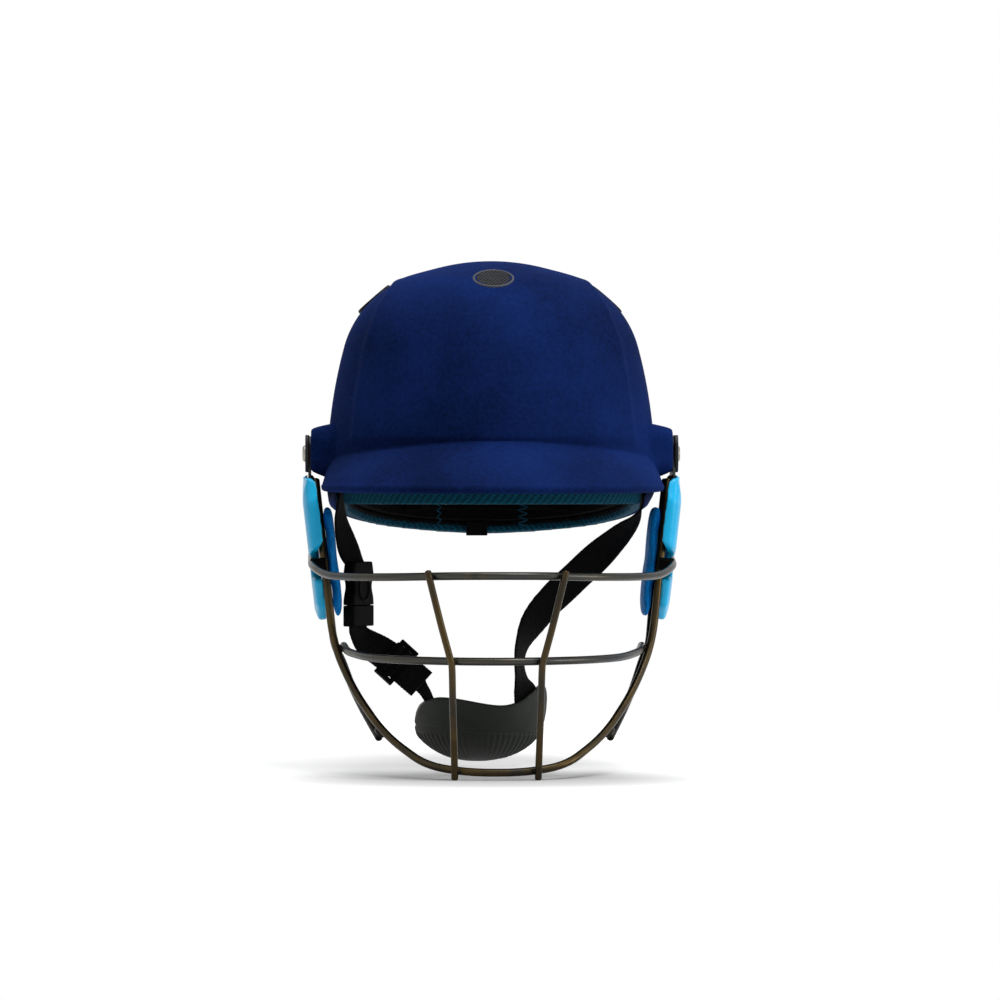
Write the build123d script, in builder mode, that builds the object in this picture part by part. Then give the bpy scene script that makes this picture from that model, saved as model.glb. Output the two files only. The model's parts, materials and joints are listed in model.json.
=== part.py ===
from build123d import *

import math
import os

# Cricket helmet with a steel face guard, plastic ear guards and a webbing chin strap.
# Millimetres, +Z up, front towards -Y. The origin is the middle of the head opening,
# level with the lower edge of the peak, where the wearer's head holds the helmet.

os.makedirs("parts", exist_ok=True)

# Shell form, outside the cloth
shell_width = 205.0
shell_front = 118.0
shell_rear = 138.0
shell_height = 142.0
girth_level = 10.0
nape_drop = 55.0
crown_radius = 133.0
shoulder_radius = 62.0
side_radius = 300.0
nape_fall = 27.0
rim_front = 45.0
front_axis_y = shell_width / 2 - shell_front
rear_axis_y = shell_rear - shell_width / 2

# Peak
peak_reach = 45.0
peak_flare = 1.5
peak_half_width = shell_width / 2 + peak_flare
peak_root_level = 30.0
peak_root_inset = 4.5

# Walls and layers, from the outside in
cloth_wall = 1.2
layer_gap = 0.3
shell_wall = 3.0
liner_wall = 12.0
pad_wall = 6.5
liner_edge = 4.0

# Side bosses and the screws that hold the face guard
boss_proud = 10.0
boss_face = shell_width / 2 + boss_proud
boss_length = 44.0
boss_height = 27.0
boss_level = 23.8
boss_sink = 12.5
boss_root = shell_width / 2 - boss_sink
boss_taper = 12.0
boss_corner = 8.0
pivot_y = -22.0
pivot_z = 21.4
screw_radius = 2.4
screw_head_radius = 5.2
screw_head_height = 2.0
screw_clearance = 0.2
washer_radius = 8.0
washer_wall = 1.6
tee_flange_radius = 6.0
tee_flange_wall = 1.5
tee_barrel_radius = 3.6
tee_barrel_length = 5.0

# Round vent eyelets
vent_radius = 13.0
vent_ring_width = 3.0
vent_proud = 1.6
vent_mesh_wall = 1.2
vent_hole_radius = 1.05
vent_hole_pitch = 3.0
vent_barrel_length = 9.0
vent_clearance = 0.3
vent_front_level = 128.0
vent_side_level = 119.0
vent_side_y = 10.0

# Trim bands under the liner's edge
trim_wall = 19.0
trim_front_drop = 10.0
trim_rear_drop = 3.0
trim_rear_rise = 5.0
trim_rear_wall = 7.0

# Strap anchors inside the shell
anchor_y = -25.0
anchor_z = 6.0
anchor_inset = 7.5
anchor_face = shell_width / 2 - anchor_inset
anchor_pocket_half = 20.0
anchor_pocket_top = 19.0
anchor_pocket_wall = 3.8
trim_pocket_wall = 8.0
rivet_radius = 2.0
rivet_head_radius = 5.0
rivet_head_wall = 1.2
rivet_tail_length = 5.0
rivet_tail = anchor_face + rivet_tail_length

# Face guard wires and their brackets
wire_radius = 2.4
upright_radius = 2.1
bracket_wall = 1.5
bracket_gap = 0.2
guard_inset = 2.5
guard_half_width = boss_face - guard_inset
guard_reach = 168.0
guard_drop = 170.5
guard_lean = 6.4
side_top = 6.0

# Ear guards and ear pads
ear_length = 60.0
ear_height = 87.0
ear_wall = 1.6
lobe_rise = 3.4
ear_bow_radius = 500.0
ear_top = -4.0
ear_centre_y = -27.0
waist_drop = 40.0
waist_slope = 7.2
waist_gap = 2.4
ear_tab_width = 15.0
ear_tab_rise = 10.0
ear_slot_length = 20.0
ear_slot_width = 4.0
pad_gap = 0.4
ear_pad_wall = 5.0
ear_pad_length = 50.0
ear_pad_height = 73.0
ear_pad_top = -9.5
ear_rivet_radius = 1.8
ear_rivet_head = 3.6
ear_rivet_head_wall = 1.4

# Chin strap
web_width = 20.0
web_wall = 1.6
thin_web_width = 9.0
buckle_width = 27.0
buckle_wall = 8.0
socket_length = 27.0
plug_length = 13.0
prong_length = 17.0
prong_width = 4.0
prong_wall = 3.4
buckle_wall_gap = 0.4
buckle_skin = 1.8
slider_length = 13.0
slider_bar = 3.0
slider_wall = 2.4
slider_gap = 0.35

# Chin cup
cup_width = 82.6
cup_height = 48.2
cup_foot = 14.0
cup_wall = 9.0
cup_lining_wall = 2.5
cup_x = -6.6
cup_z = -147.4

overrun = 5.0
far = 400.0


def save(piece, name):
    piece.label = name
    export_step(piece, "parts/" + name + ".step")


# Shell form


def meeting_centre():
    """Centre of the shoulder arc, tangent inside the crown arc and the side arc."""
    crown_z = shell_height - crown_radius
    side_x = shell_width / 2 - side_radius
    to_crown = crown_radius - shoulder_radius
    to_side = side_radius - shoulder_radius
    gap = Vector(side_x, girth_level - crown_z)
    along = (to_crown**2 - to_side**2 + gap.length**2) / (2 * gap.length)
    off = math.sqrt(to_crown**2 - along**2)
    unit = gap.normalized()
    place = Vector(0, crown_z) + unit * along + Vector(unit.Y, -unit.X) * off
    return place.X, place.Y


crown_centre = (0, shell_height - crown_radius)
side_centre = (shell_width / 2 - side_radius, girth_level)
shoulder_centre = meeting_centre()


def arc_point(centre, other, radius):
    """The point where an arc about centre meets its tangent neighbour about other."""
    reach = math.hypot(other[0] - centre[0], other[1] - centre[1])
    return tuple(c + (o - c) * radius / reach for c, o in zip(centre, other))


def side_point(level, inset):
    """The outline's point at a level on the side arc."""
    radius = side_radius - inset
    up = level - girth_level
    return (side_centre[0] + math.sqrt(radius**2 - up**2), level)


def dome_points(inset):
    """Ends and middles of the outline's three arcs, from the crown down to the nape's foot."""
    crown = (0, shell_height - inset)
    high = arc_point(crown_centre, shoulder_centre, crown_radius - inset)
    low = arc_point(side_centre, shoulder_centre, side_radius - inset)
    foot = side_point(-nape_drop + girth_level, inset)
    turn = math.atan2(high[0], high[1] - crown_centre[1]) / 2
    high_middle = (
        (crown_radius - inset) * math.sin(turn),
        crown_centre[1] + (crown_radius - inset) * math.cos(turn),
    )
    between = ((high[0] + low[0]) / 2, (high[1] + low[1]) / 2)
    low_middle = arc_point(shoulder_centre, between, shoulder_radius - inset)
    side_middle = side_point(girth_level, inset)
    return crown, high_middle, high, low_middle, low, side_middle, foot


def draw_arcs(inset, side):
    """The outline's three arcs, drawn on the left (side -1) or right (side 1)."""
    crown, high_middle, high, low_middle, low, side_middle, foot = (
        (side * x, z) for x, z in dome_points(inset)
    )
    ThreePointArc(crown, high_middle, high)
    ThreePointArc(high, low_middle, low)
    ThreePointArc(low, side_middle, foot)
    return crown, foot


def wall_face(centre_y, outer_inset, inner_inset, side):
    """Half the section of a wall of the dome, or of the solid dome where nothing is inside."""
    with BuildSketch(Plane.XZ.offset(-centre_y)) as section:
        with BuildLine():
            crown, foot = draw_arcs(outer_inset, side)
            if inner_inset is None:
                Polyline(foot, (0, foot[1]), crown)
            else:
                inner_crown, inner_foot = draw_arcs(inner_inset, side)
                Line(crown, inner_crown)
                Line(foot, inner_foot)
        make_face()
    return section.sketch


def dome_form(outer_inset, inner_inset=None):
    """The dome between two insets: two revolved ends and a straight stretch between them."""
    with BuildPart() as dome:
        for side, centre_y in ((-1, front_axis_y), (1, rear_axis_y)):
            end = wall_face(centre_y, outer_inset, inner_inset, side)
            revolve(end, axis=Axis((0, centre_y, 0), (0, 0, 1)), revolution_arc=180)
        for side in (-1, 1):
            middle = wall_face(rear_axis_y, outer_inset, inner_inset, side)
            extrude(middle, amount=rear_axis_y - front_axis_y)
    return dome.part


# Each section of the peak: level, growth from the root ellipse to the edge ellipse
peak_level_shares = (1.0, 0.55, 0.2, 0.0)
peak_growth_shares = (0.0, 0.52, 0.86, 1.0)
peak_inset_drop_share = 0.8
peak_inset_reach_share = 0.6


def peak_form(inset):
    """The flared skirt whose front stands out of the dome as the peak."""
    root_radius = shell_width / 2 - peak_root_inset
    edge_y = peak_half_width - shell_front - peak_reach
    with BuildPart() as peak:
        for level, growth in zip(peak_level_shares, peak_growth_shares):
            radius = root_radius + growth * (peak_half_width - root_radius) - inset
            centre_y = front_axis_y + growth * (edge_y - front_axis_y)
            height = level * peak_root_level - peak_inset_drop_share * inset
            with BuildSketch(Plane.XY.offset(height)):
                with Locations((0, centre_y + (1 - peak_inset_reach_share) * -inset)):
                    Circle(radius)
        loft()
    return peak.part


def boss_form(inset):
    """The flat-faced shoulder that carries the side screw, on the left (-X)."""
    with BuildPart() as boss:
        with BuildSketch(Plane.YZ.offset(-boss_face + inset)):
            with Locations((pivot_y, boss_level)):
                RectangleRounded(
                    boss_length - 2 * inset, boss_height - 2 * inset, boss_corner - inset
                )
        extrude(amount=boss_face - boss_root, taper=-boss_taper)
        fillet(boss.faces().sort_by(Axis.X)[0].edges(), boss_corner / 4)
    return boss.part


def shell_form(inset):
    """The whole outer form of the helmet shell, shrunk by the inset, still solid."""
    with BuildPart() as form:
        add(dome_form(inset))
        add(peak_form(inset))
        boss = boss_form(inset)
        add(boss)
        add(mirror(boss, about=Plane.YZ, mode=Mode.PRIVATE))
    return form.part


rim_reach_shares = (0.0, 0.2, 0.5, 0.8, 1.0)
rim_fall_shares = (0.0, 0.16, 0.42, 0.8, 1.1)


def above_rim(lift):
    """Everything above the shell's lower edge, with the edge raised by the lift."""
    length = shell_rear + rim_front
    points = [
        (-rim_front + reach * length, lift - fall * nape_fall)
        for reach, fall in zip(rim_reach_shares, rim_fall_shares)
    ]
    with BuildPart() as region:
        with BuildSketch(Plane.YZ.offset(-far)):
            with BuildLine():
                edge = Spline(*points, tangents=((1, 0), (1, -0.4)))
                Polyline(
                    edge @ 1, (far, points[-1][1]), (far, far), (-far, far), (-far, lift), edge @ 0
                )
            make_face()
        extrude(amount=2 * far)
    return region.part


def slab(low, high):
    """A box from one corner to the other."""
    size = [b - a for a, b in zip(low, high)]
    with BuildPart() as block:
        with Locations(tuple((a + b) / 2 for a, b in zip(low, high))):
            Box(*size)
    return block.part


# Where the eyelets sit


def dome_plane(level, direction, centre_y):
    """A plane on the dome at a level, facing out, in a direction from an upright axis."""
    join_level = arc_point(crown_centre, shoulder_centre, crown_radius)[1]
    centre, radius = crown_centre, crown_radius
    if level < join_level:
        centre, radius = shoulder_centre, shoulder_radius
    up = level - centre[1]
    out = math.sqrt(radius**2 - up**2)
    flat = Vector(*direction)
    place = Vector(0, centre_y, level) + flat * (centre[0] + out)
    normal = flat * out + Vector(0, 0, up)
    return Plane(origin=place, x_dir=Vector(0, 0, 1).cross(normal), z_dir=normal)


vent_planes = {
    "vent_front": dome_plane(vent_front_level, (0, -1, 0), front_axis_y),
    "vent_left": dome_plane(vent_side_level, (-1, 0, 0), vent_side_y),
    "vent_right": dome_plane(vent_side_level, (1, 0, 0), vent_side_y),
    "vent_rear": dome_plane(vent_front_level, (0, 1, 0), rear_axis_y),
}
vent_barrel_radius = vent_radius - vent_ring_width

outer = shell_form(0)
cover_inner = cloth_wall
shell_outer = cloth_wall + layer_gap
shell_inner = shell_outer + shell_wall
liner_outer = shell_inner + layer_gap
liner_inner = liner_outer + liner_wall
pad_outer = liner_inner + layer_gap
pad_inner = pad_outer + pad_wall
rim = above_rim(0)


def vent_cores(radius, depth):
    """Round plugs through the wall at every eyelet, to cut with."""
    with BuildPart() as cores:
        for plane in vent_planes.values():
            with BuildSketch(plane.offset(-depth)):
                Circle(radius)
            extrude(amount=depth + overrun)
    return cores.part


def side_cores(radius, place):
    """Rods along X through both sides of the shell, to cut with."""
    with BuildPart() as cores:
        for side in (-1, 1):
            with BuildSketch(Plane.YZ.offset(side * (boss_root + boss_face + overrun) / 2)):
                with Locations(place):
                    Circle(radius)
            extrude(amount=(boss_face - boss_root + overrun) / 2, both=True)
    return cores.part


# Cloth cover and hard shell

vent_cut = vent_cores(vent_barrel_radius + vent_clearance, liner_inner + overrun)
screw_cut = side_cores(screw_radius + screw_clearance, (pivot_y, pivot_z))
rivet_cut = side_cores(rivet_radius + screw_clearance, (anchor_y, anchor_z))

with BuildPart() as cloth_cover:
    add(outer)
    add(shell_form(cover_inner), mode=Mode.SUBTRACT)
    add(rim, mode=Mode.INTERSECT)
    add(vent_cut, mode=Mode.SUBTRACT)
    add(screw_cut, mode=Mode.SUBTRACT)
save(cloth_cover.part, "cloth_cover")

with BuildPart() as outer_shell:
    add(shell_form(shell_outer))
    add(shell_form(shell_inner), mode=Mode.SUBTRACT)
    add(rim, mode=Mode.INTERSECT)
    add(vent_cut, mode=Mode.SUBTRACT)
    add(screw_cut, mode=Mode.SUBTRACT)
    add(rivet_cut, mode=Mode.SUBTRACT)
save(outer_shell.part, "outer_shell")

# Foam liner, with pockets for the strap anchors and channels under the eyelets


def anchor_pockets(wall):
    """Room beside the shell for both strap ends to swing, to cut with."""
    with BuildPart() as pockets:
        for side in (-1, 1):
            near = side * (anchor_face - wall)
            away = side * (shell_width / 2 + overrun)
            low = (min(near, away), anchor_y - anchor_pocket_half, -nape_drop)
            high = (max(near, away), anchor_y + anchor_pocket_half, anchor_pocket_top)
            add(slab(low, high))
    return pockets.part


with BuildPart() as impact_liner:
    add(dome_form(liner_outer, liner_inner))
    add(above_rim(liner_edge), mode=Mode.INTERSECT)
    add(anchor_pockets(anchor_pocket_wall), mode=Mode.SUBTRACT)
    add(vent_cut, mode=Mode.SUBTRACT)
save(impact_liner.part, "impact_liner")

# Comfort pads stuck inside the liner


def pad_piece(low, high, name):
    """The part of the comfort layer that lies in a box, as a pad of its own."""
    with BuildPart() as pad:
        add(dome_form(pad_outer, pad_inner))
        add(slab(low, high), mode=Mode.INTERSECT)
    save(pad.part, name)


inner_front = shell_front - pad_inner
inner_rear = shell_rear - pad_inner
inner_half = shell_width / 2 - pad_inner
inner_top = shell_height - pad_inner
front_pad_share = 0.5
front_pad_half_share = 0.7
front_pad_rise_share = 0.36
rear_pad_low_share = 0.6
pad_half = inner_half * front_pad_half_share
pad_rise = inner_top * front_pad_rise_share
pad_piece(
    (-pad_half, -far, liner_edge + layer_gap),
    (pad_half, -inner_front * front_pad_share, pad_rise),
    "front_pad",
)
pad_piece(
    (-pad_half, inner_rear * front_pad_share, -nape_fall * rear_pad_low_share),
    (pad_half, far, pad_rise),
    "rear_pad",
)
side_pad_low_share = 0.1
side_pad_high_share = 0.5
side_pad_y_share = 0.38
for side, name in ((-1, "left_side_pad"), (1, "right_side_pad")):
    edges = sorted((side * pad_half, side * far))
    pad_piece(
        (edges[0], -inner_front * side_pad_y_share, inner_top * side_pad_low_share),
        (edges[1], inner_rear * side_pad_y_share, inner_top * side_pad_high_share),
        name,
    )
crown_pad_half_share = 0.3
crown_pad_level_share = 0.8
crown_half = inner_half * crown_pad_half_share
pad_piece(
    (-crown_half, -inner_front * front_pad_share, inner_top * crown_pad_level_share),
    (crown_half, inner_rear * front_pad_share, far),
    "crown_pad",
)

# Mesh-cloth trims along the opening, in front under the liner and round the rear rim

trim_split_y = anchor_y + anchor_pocket_half
with BuildPart() as front_trim:
    add(dome_form(liner_outer, liner_outer + trim_wall))
    add(above_rim(liner_edge - layer_gap), mode=Mode.SUBTRACT)
    add(slab((-far, -far, -trim_front_drop), (far, trim_split_y, far)), mode=Mode.INTERSECT)
    add(anchor_pockets(trim_pocket_wall), mode=Mode.SUBTRACT)
save(front_trim.part, "front_trim")

with BuildPart() as rear_trim:
    add(dome_form(liner_outer, liner_outer + trim_rear_wall))
    add(above_rim(-trim_rear_drop), mode=Mode.INTERSECT)
    add(above_rim(liner_edge - layer_gap), mode=Mode.SUBTRACT)
    add(slab((-far, trim_split_y + layer_gap, -far), (far, far, far)), mode=Mode.INTERSECT)
save(rear_trim.part, "rear_trim")

# Small dark tab on the rear rim

tab_x = -6.0
tab_inset = liner_outer + trim_rear_wall
with BuildPart() as rear_tab:
    add(dome_form(tab_inset + layer_gap, tab_inset + 2 * cloth_wall))
    add(
        slab(
            (tab_x - trim_rear_wall, 0, -nape_fall - trim_rear_drop - cloth_wall),
            (tab_x + trim_rear_wall, far, -nape_fall + trim_rear_rise),
        ),
        mode=Mode.INTERSECT,
    )
save(rear_tab.part, "rear_tab")

# Vent eyelets: a flanged ring, a barrel through the shell and a drilled disc

outer_skin = dome_form(0)
for name, plane in vent_planes.items():
    with BuildPart() as vent:
        with BuildSketch(plane.offset(-vent_proud)):
            Circle(vent_radius)
        extrude(amount=2 * vent_proud)
        fillet(vent.faces().sort_by(Axis(plane.origin, plane.z_dir))[-1].edges(), vent_proud / 2)
        add(outer_skin, mode=Mode.SUBTRACT)
        with BuildSketch(plane.offset(-vent_barrel_length)):
            Circle(vent_barrel_radius)
        extrude(amount=vent_barrel_length + vent_proud / 2)
        with BuildSketch(plane.offset(vent_proud / 2)):
            Circle(vent_barrel_radius - vent_mesh_wall)
        extrude(amount=vent_proud, mode=Mode.SUBTRACT)
        with BuildSketch(plane.offset(-vent_barrel_length - overrun)):
            Circle(vent_barrel_radius - vent_mesh_wall)
        hollow = vent_barrel_length + overrun + vent_proud / 2 - vent_mesh_wall
        extrude(amount=hollow, mode=Mode.SUBTRACT)
        with BuildSketch(plane.offset(-vent_mesh_wall)):
            Circle(vent_hole_radius)
            with PolarLocations(vent_hole_pitch, 6):
                Circle(vent_hole_radius)
            with PolarLocations(2 * vent_hole_pitch, 12):
                Circle(vent_hole_radius)
        extrude(amount=vent_proud + 2 * vent_mesh_wall, mode=Mode.SUBTRACT)
    save(vent.part, name)


# Face guard fixings: screws, washers and tee nuts on the line through both bosses


def side_discs(near, thick, radius, bore, place=(pivot_y, pivot_z)):
    """One disc a side, its inner face at the distance near from the middle, going outwards."""
    with BuildPart() as discs:
        for side in (-1, 1):
            with BuildSketch(Plane.YZ.offset(side * near)):
                with Locations(place):
                    Circle(radius)
                    if bore:
                        Circle(bore, mode=Mode.SUBTRACT)
            extrude(amount=side * thick)
    return discs.part


bracket_near = boss_face + bracket_gap
washer_near = bracket_near + bracket_wall + bracket_gap
head_near = washer_near + washer_wall
tee_near = boss_face - shell_inner - layer_gap - tee_flange_wall
bore_radius = screw_radius + screw_clearance

with BuildPart() as grille_screws:
    add(side_discs(tee_near, head_near - tee_near, screw_radius, None))
    add(side_discs(head_near, screw_head_height, screw_head_radius, None))
    rims = grille_screws.faces().sort_by(Axis.X)
    fillet(rims[0].edges() + rims[-1].edges(), screw_head_height * 0.8)
save(grille_screws.part, "grille_screws")

save(side_discs(washer_near, washer_wall, washer_radius, bore_radius), "grille_washers")

with BuildPart() as tee_nuts:
    add(side_discs(tee_near, tee_flange_wall, tee_flange_radius, bore_radius))
    add(side_discs(tee_near - tee_barrel_length, tee_barrel_length, tee_barrel_radius, bore_radius))
save(tee_nuts.part, "grille_tee_nuts")

# Strap rivets inside the shell, on one line across the head opening

strap_near = anchor_face - layer_gap - web_wall
with BuildPart() as strap_rivets:
    place = (anchor_y, anchor_z)
    head = rivet_head_wall - layer_gap / 2
    shank_near = strap_near - layer_gap
    add(side_discs(shank_near, rivet_tail - shank_near, rivet_radius, None, place))
    add(side_discs(strap_near - rivet_head_wall, head, rivet_head_radius, None, place))
save(strap_rivets.part, "strap_rivets")


# Face guard wires: each route is a table of shares of the guard's half width, reach and drop


def grille_points(shares, side=-1):
    return [
        (side * x * guard_half_width, y * guard_reach, z * guard_drop) for x, y, z in shares
    ]


def bend_radii(points):
    """The largest radius that fits each corner, leaving a tenth of each run straight."""
    places = [Vector(*point) for point in points]
    radii = []
    for before, here, after in zip(places, places[1:], places[2:]):
        turn = math.radians((here - before).get_angle(after - here))
        run = min((here - before).length, (after - here).length)
        radii.append(0.45 * run / math.tan(turn / 2))
    return radii


def wire(points, radius):
    """A round wire along filleted straight runs, its ends rounded over."""
    with BuildPart() as rod:
        with BuildLine() as route:
            FilletPolyline(*points, radius=bend_radii(points))
        path = route.line
        with BuildSketch(Plane(origin=path @ 0, z_dir=path % 0)):
            Circle(radius)
        sweep()
        ends = rod.faces().filter_by(GeomType.PLANE)
        fillet(ends.edges(), radius * wire_end_share)
    return rod.part


wire_end_share = 0.6
frame_shares = (
    (1.0, -0.214, 0.035),
    (0.95, -0.286, -0.252),
    (0.896, -0.357, -0.563),
    (0.782, -0.476, -0.727),
    (0.607, -0.655, -0.88),
    (0.382, -0.821, -0.979),
    (0.145, -0.887, -1.0),
)
side_shares = (
    (1.0, -0.048, 0.035),
    (0.9636, -0.0536, -0.176),
    (0.918, -0.095, -0.44),
    (0.8936, -0.167, -0.575),
    (0.85, -0.25, -0.622),
    (0.786, -0.369, -0.727),
    (0.712, -0.5, -0.815),
    (0.636, -0.619, -0.8945),
)
top_shares = (
    (1.021, -0.036, -0.243),
    (1.0155, -0.357, -0.283),
    (0.932, -0.5, -0.314),
    (0.782, -0.667, -0.317),
    (0.545, -0.84, -0.314),
    (0.273, -0.958, -0.3085),
    (0.091, -0.997, -0.3073),
)
mid_shares = (
    (0.838, -0.339, -0.57),
    (0.816, -0.452, -0.589),
    (0.709, -0.637, -0.604),
    (0.509, -0.81, -0.607),
    (0.264, -0.9286, -0.6072),
    (0.091, -0.967, -0.6074),
)
upright_shares = (
    (0.373, -0.949, -0.296),
    (0.344, -0.9525, -0.3906),
    (0.291, -0.956, -0.4927),
    (0.251, -0.962, -0.604),
    (0.2345, -0.9464, -0.751),
    (0.227, -0.888, -1.0235),
)


def across(shares):
    """A route from the left end round the front to the right end."""
    return grille_points(shares, -1) + grille_points(reversed(shares), 1)


save(wire(across(frame_shares), wire_radius), "frame_wire")
save(wire(across(top_shares), wire_radius), "top_bar")
save(wire(across(mid_shares), wire_radius), "mid_bar")
for side, word in ((-1, "left"), (1, "right")):
    save(wire(grille_points(side_shares, side), wire_radius), word + "_side_wire")
    save(wire(grille_points(upright_shares, side), upright_radius), word + "_upright")

# Brackets that the side screws clamp, with the wires' upper ends on their inner faces

bracket_top_radius = 11.0
bracket_foot_radius = 5.0
frame_top = grille_points(frame_shares)[0]
side_top_point = grille_points(side_shares)[0]
ear_rivet_z = 3.0
with BuildPart() as left_bracket:
    with BuildSketch(Plane.YZ.offset(-bracket_near)):
        with Locations((pivot_y, pivot_z)):
            Circle(bracket_top_radius)
        with Locations(frame_top[1:], side_top_point[1:]):
            Circle(bracket_foot_radius)
        make_hull()
        with Locations((pivot_y, pivot_z)):
            Circle(bore_radius, mode=Mode.SUBTRACT)
        with Locations((pivot_y, ear_rivet_z)):
            Circle(ear_rivet_radius + screw_clearance, mode=Mode.SUBTRACT)
    extrude(amount=-bracket_wall)
save(left_bracket.part, "left_bracket")

with BuildPart() as right_bracket:
    add(mirror(left_bracket.part, about=Plane.YZ, mode=Mode.PRIVATE))
save(right_bracket.part, "right_bracket")

# Ear guards: bowed plastic shells of two lobes, with the top bar's end in the waist between

lean = math.radians(guard_lean)
lean_normal = Vector(-math.cos(lean), 0, -math.sin(lean))
lean_down = Vector(math.sin(lean), 0, -math.cos(lean))


def lean_plane(out):
    """A plane beside the wires' upper legs, facing out: x to the rear and y down the legs."""
    origin = Vector(-guard_half_width, ear_centre_y, side_top) + lean_normal * out
    return Plane(origin=origin, x_dir=(0, 1, 0), z_dir=lean_normal)


def down_to(level):
    """Distance down the leaning plane to a level."""
    return (side_top - level) / math.cos(lean)


ear_outline_shares = (
    (-0.4, 0.0),
    (0.34, 0.0),
    (0.5, 0.14),
    (0.46, 0.44),
    (0.42, 0.6),
    (0.36, 0.84),
    (0.16, 1.0),
    (-0.16, 1.0),
    (-0.38, 0.86),
    (-0.44, 0.6),
    (-0.22, 0.57),
    (-0.22, 0.43),
    (-0.5, 0.38),
    (-0.5, 0.12),
)
ear_near = wire_radius + 2 * pad_gap + layer_gap / 3
ear_corner_share = 0.07
ear_slot_shares = (0.24, 0.34, 0.76)


def bowed_wall(near, thick):
    """A cylinder's wall whose crown stands at the distance near outside the wires."""
    down = Plane(origin=lean_plane(near - ear_bow_radius).origin, x_dir=(0, 1, 0), z_dir=lean_down)
    with BuildPart() as ring:
        with BuildSketch(down.offset(-ear_height)):
            Circle(ear_bow_radius + thick)
            Circle(ear_bow_radius, mode=Mode.SUBTRACT)
        extrude(amount=3 * ear_height)
    return ring.part


with BuildPart() as left_ear_guard:
    with BuildSketch(lean_plane(0)):
        with BuildLine():
            Polyline(
                [
                    (u * ear_length, down_to(ear_top) + v * ear_height)
                    for u, v in ear_outline_shares
                ],
                close=True,
            )
        make_face()
        fillet(vertices(), ear_length * ear_corner_share)
    extrude(amount=ear_near + ear_wall + lobe_rise + overrun)
    add(bowed_wall(ear_near, ear_wall + lobe_rise), mode=Mode.INTERSECT)
    with BuildSketch(lean_plane(ear_near + ear_wall)):
        with Locations(Location((0, down_to(ear_top - waist_drop), 0), (0, 0, -waist_slope))):
            Rectangle(2 * ear_length, 2 * (wire_radius + pad_gap) + waist_gap)
    extrude(amount=lobe_rise + overrun, mode=Mode.SUBTRACT)
    with BuildSketch(lean_plane(0)):
        with Locations(*[(0, down_to(ear_top - v * ear_height)) for v in ear_slot_shares]):
            SlotOverall(ear_slot_length, ear_slot_width)
    extrude(amount=ear_near + ear_wall + lobe_rise + overrun, mode=Mode.SUBTRACT)
    tab_near = washer_near
    with BuildSketch(Plane.YZ.offset(-tab_near)):
        with Locations((pivot_y, ear_top + ear_tab_rise / 2)):
            Rectangle(ear_tab_width, ear_tab_rise + overrun)
        with Locations((pivot_y, ear_rivet_z)):
            Circle(ear_rivet_radius + screw_clearance, mode=Mode.SUBTRACT)
    extrude(amount=-ear_wall)
save(left_ear_guard.part, "left_ear_guard")

with BuildPart() as right_ear_guard:
    add(mirror(left_ear_guard.part, about=Plane.YZ, mode=Mode.PRIVATE))
save(right_ear_guard.part, "right_ear_guard")

ear_rivet_near = bracket_near - ear_rivet_head_wall
with BuildPart() as ear_guard_rivets:
    place = (pivot_y, ear_rivet_z)
    add(side_discs(ear_rivet_near, tab_near + ear_wall - ear_rivet_near, ear_rivet_radius, None, place))
    add(side_discs(ear_rivet_near, ear_rivet_head_wall, ear_rivet_head, None, place))
    add(side_discs(tab_near + ear_wall, ear_rivet_head_wall, ear_rivet_head, None, place))
save(ear_guard_rivets.part, "ear_guard_rivets")

# Ear pads: foam cushions on the inner side of the wires

pad_corner = 14.0
with BuildPart() as left_ear_pad:
    with BuildSketch(lean_plane(-wire_radius - pad_gap)):
        with Locations((0, down_to(ear_pad_top) + ear_pad_height / 2)):
            RectangleRounded(ear_pad_length, ear_pad_height, pad_corner)
    extrude(amount=-ear_pad_wall)
    inner = left_ear_pad.faces().sort_by(Axis(lean_plane(0).origin, lean_normal))[0]
    fillet(inner.edges(), ear_pad_wall / 2)
save(left_ear_pad.part, "left_ear_pad")

with BuildPart() as right_ear_pad:
    add(mirror(left_ear_pad.part, about=Plane.YZ, mode=Mode.PRIVATE))
save(right_ear_pad.part, "right_ear_pad")

# Clips that tie the top bar to the frame wire in the notch of each ear guard

clip_length = 9.0
clip_width = 8.0
clip_gap = 0.15
clip_u = -21.5
clip_level = -47.0
with BuildPart() as left_clip:
    with BuildSketch(lean_plane(-wire_radius / 2)):
        with Locations((clip_u, down_to(clip_level))):
            RectangleRounded(clip_length, clip_width, clip_width / 4)
    extrude(amount=ear_near + ear_wall + lobe_rise + wire_radius / 2)
    add(wire(across(frame_shares), wire_radius + clip_gap), mode=Mode.SUBTRACT)
    add(wire(across(top_shares), wire_radius + clip_gap), mode=Mode.SUBTRACT)

with BuildPart() as bar_clips:
    add(left_clip.part)
    add(mirror(left_clip.part, about=Plane.YZ, mode=Mode.PRIVATE))
save(bar_clips.part, "bar_clips")

# Chin strap webbing: flat bands through stations, each a place and a width direction


def web_plane(before, here, after, turn):
    """A plane across the band at a station, its x along the band's width."""
    along = (Vector(*after) - Vector(*before)).normalized()
    width = Vector(*turn)
    width = (width - along * width.dot(along)).normalized()
    return Plane(origin=here, x_dir=width, z_dir=along)


def webbing(points, turns, widths, wall):
    """A band of webbing lofted straight from station to station."""
    first = [points[0]] + list(points[:-1])
    last = list(points[1:]) + [points[-1]]
    with BuildPart() as band:
        for before, here, after, turn, width in zip(first, points, last, turns, widths):
            with BuildSketch(web_plane(before, here, after, turn)):
                Rectangle(width, wall)
        loft(ruled=True)
    return band.part


def anchored(band):
    """The band with its rivet holes."""
    with BuildPart() as held:
        add(band)
        add(rivet_cut, mode=Mode.SUBTRACT)
    return held.part


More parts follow.
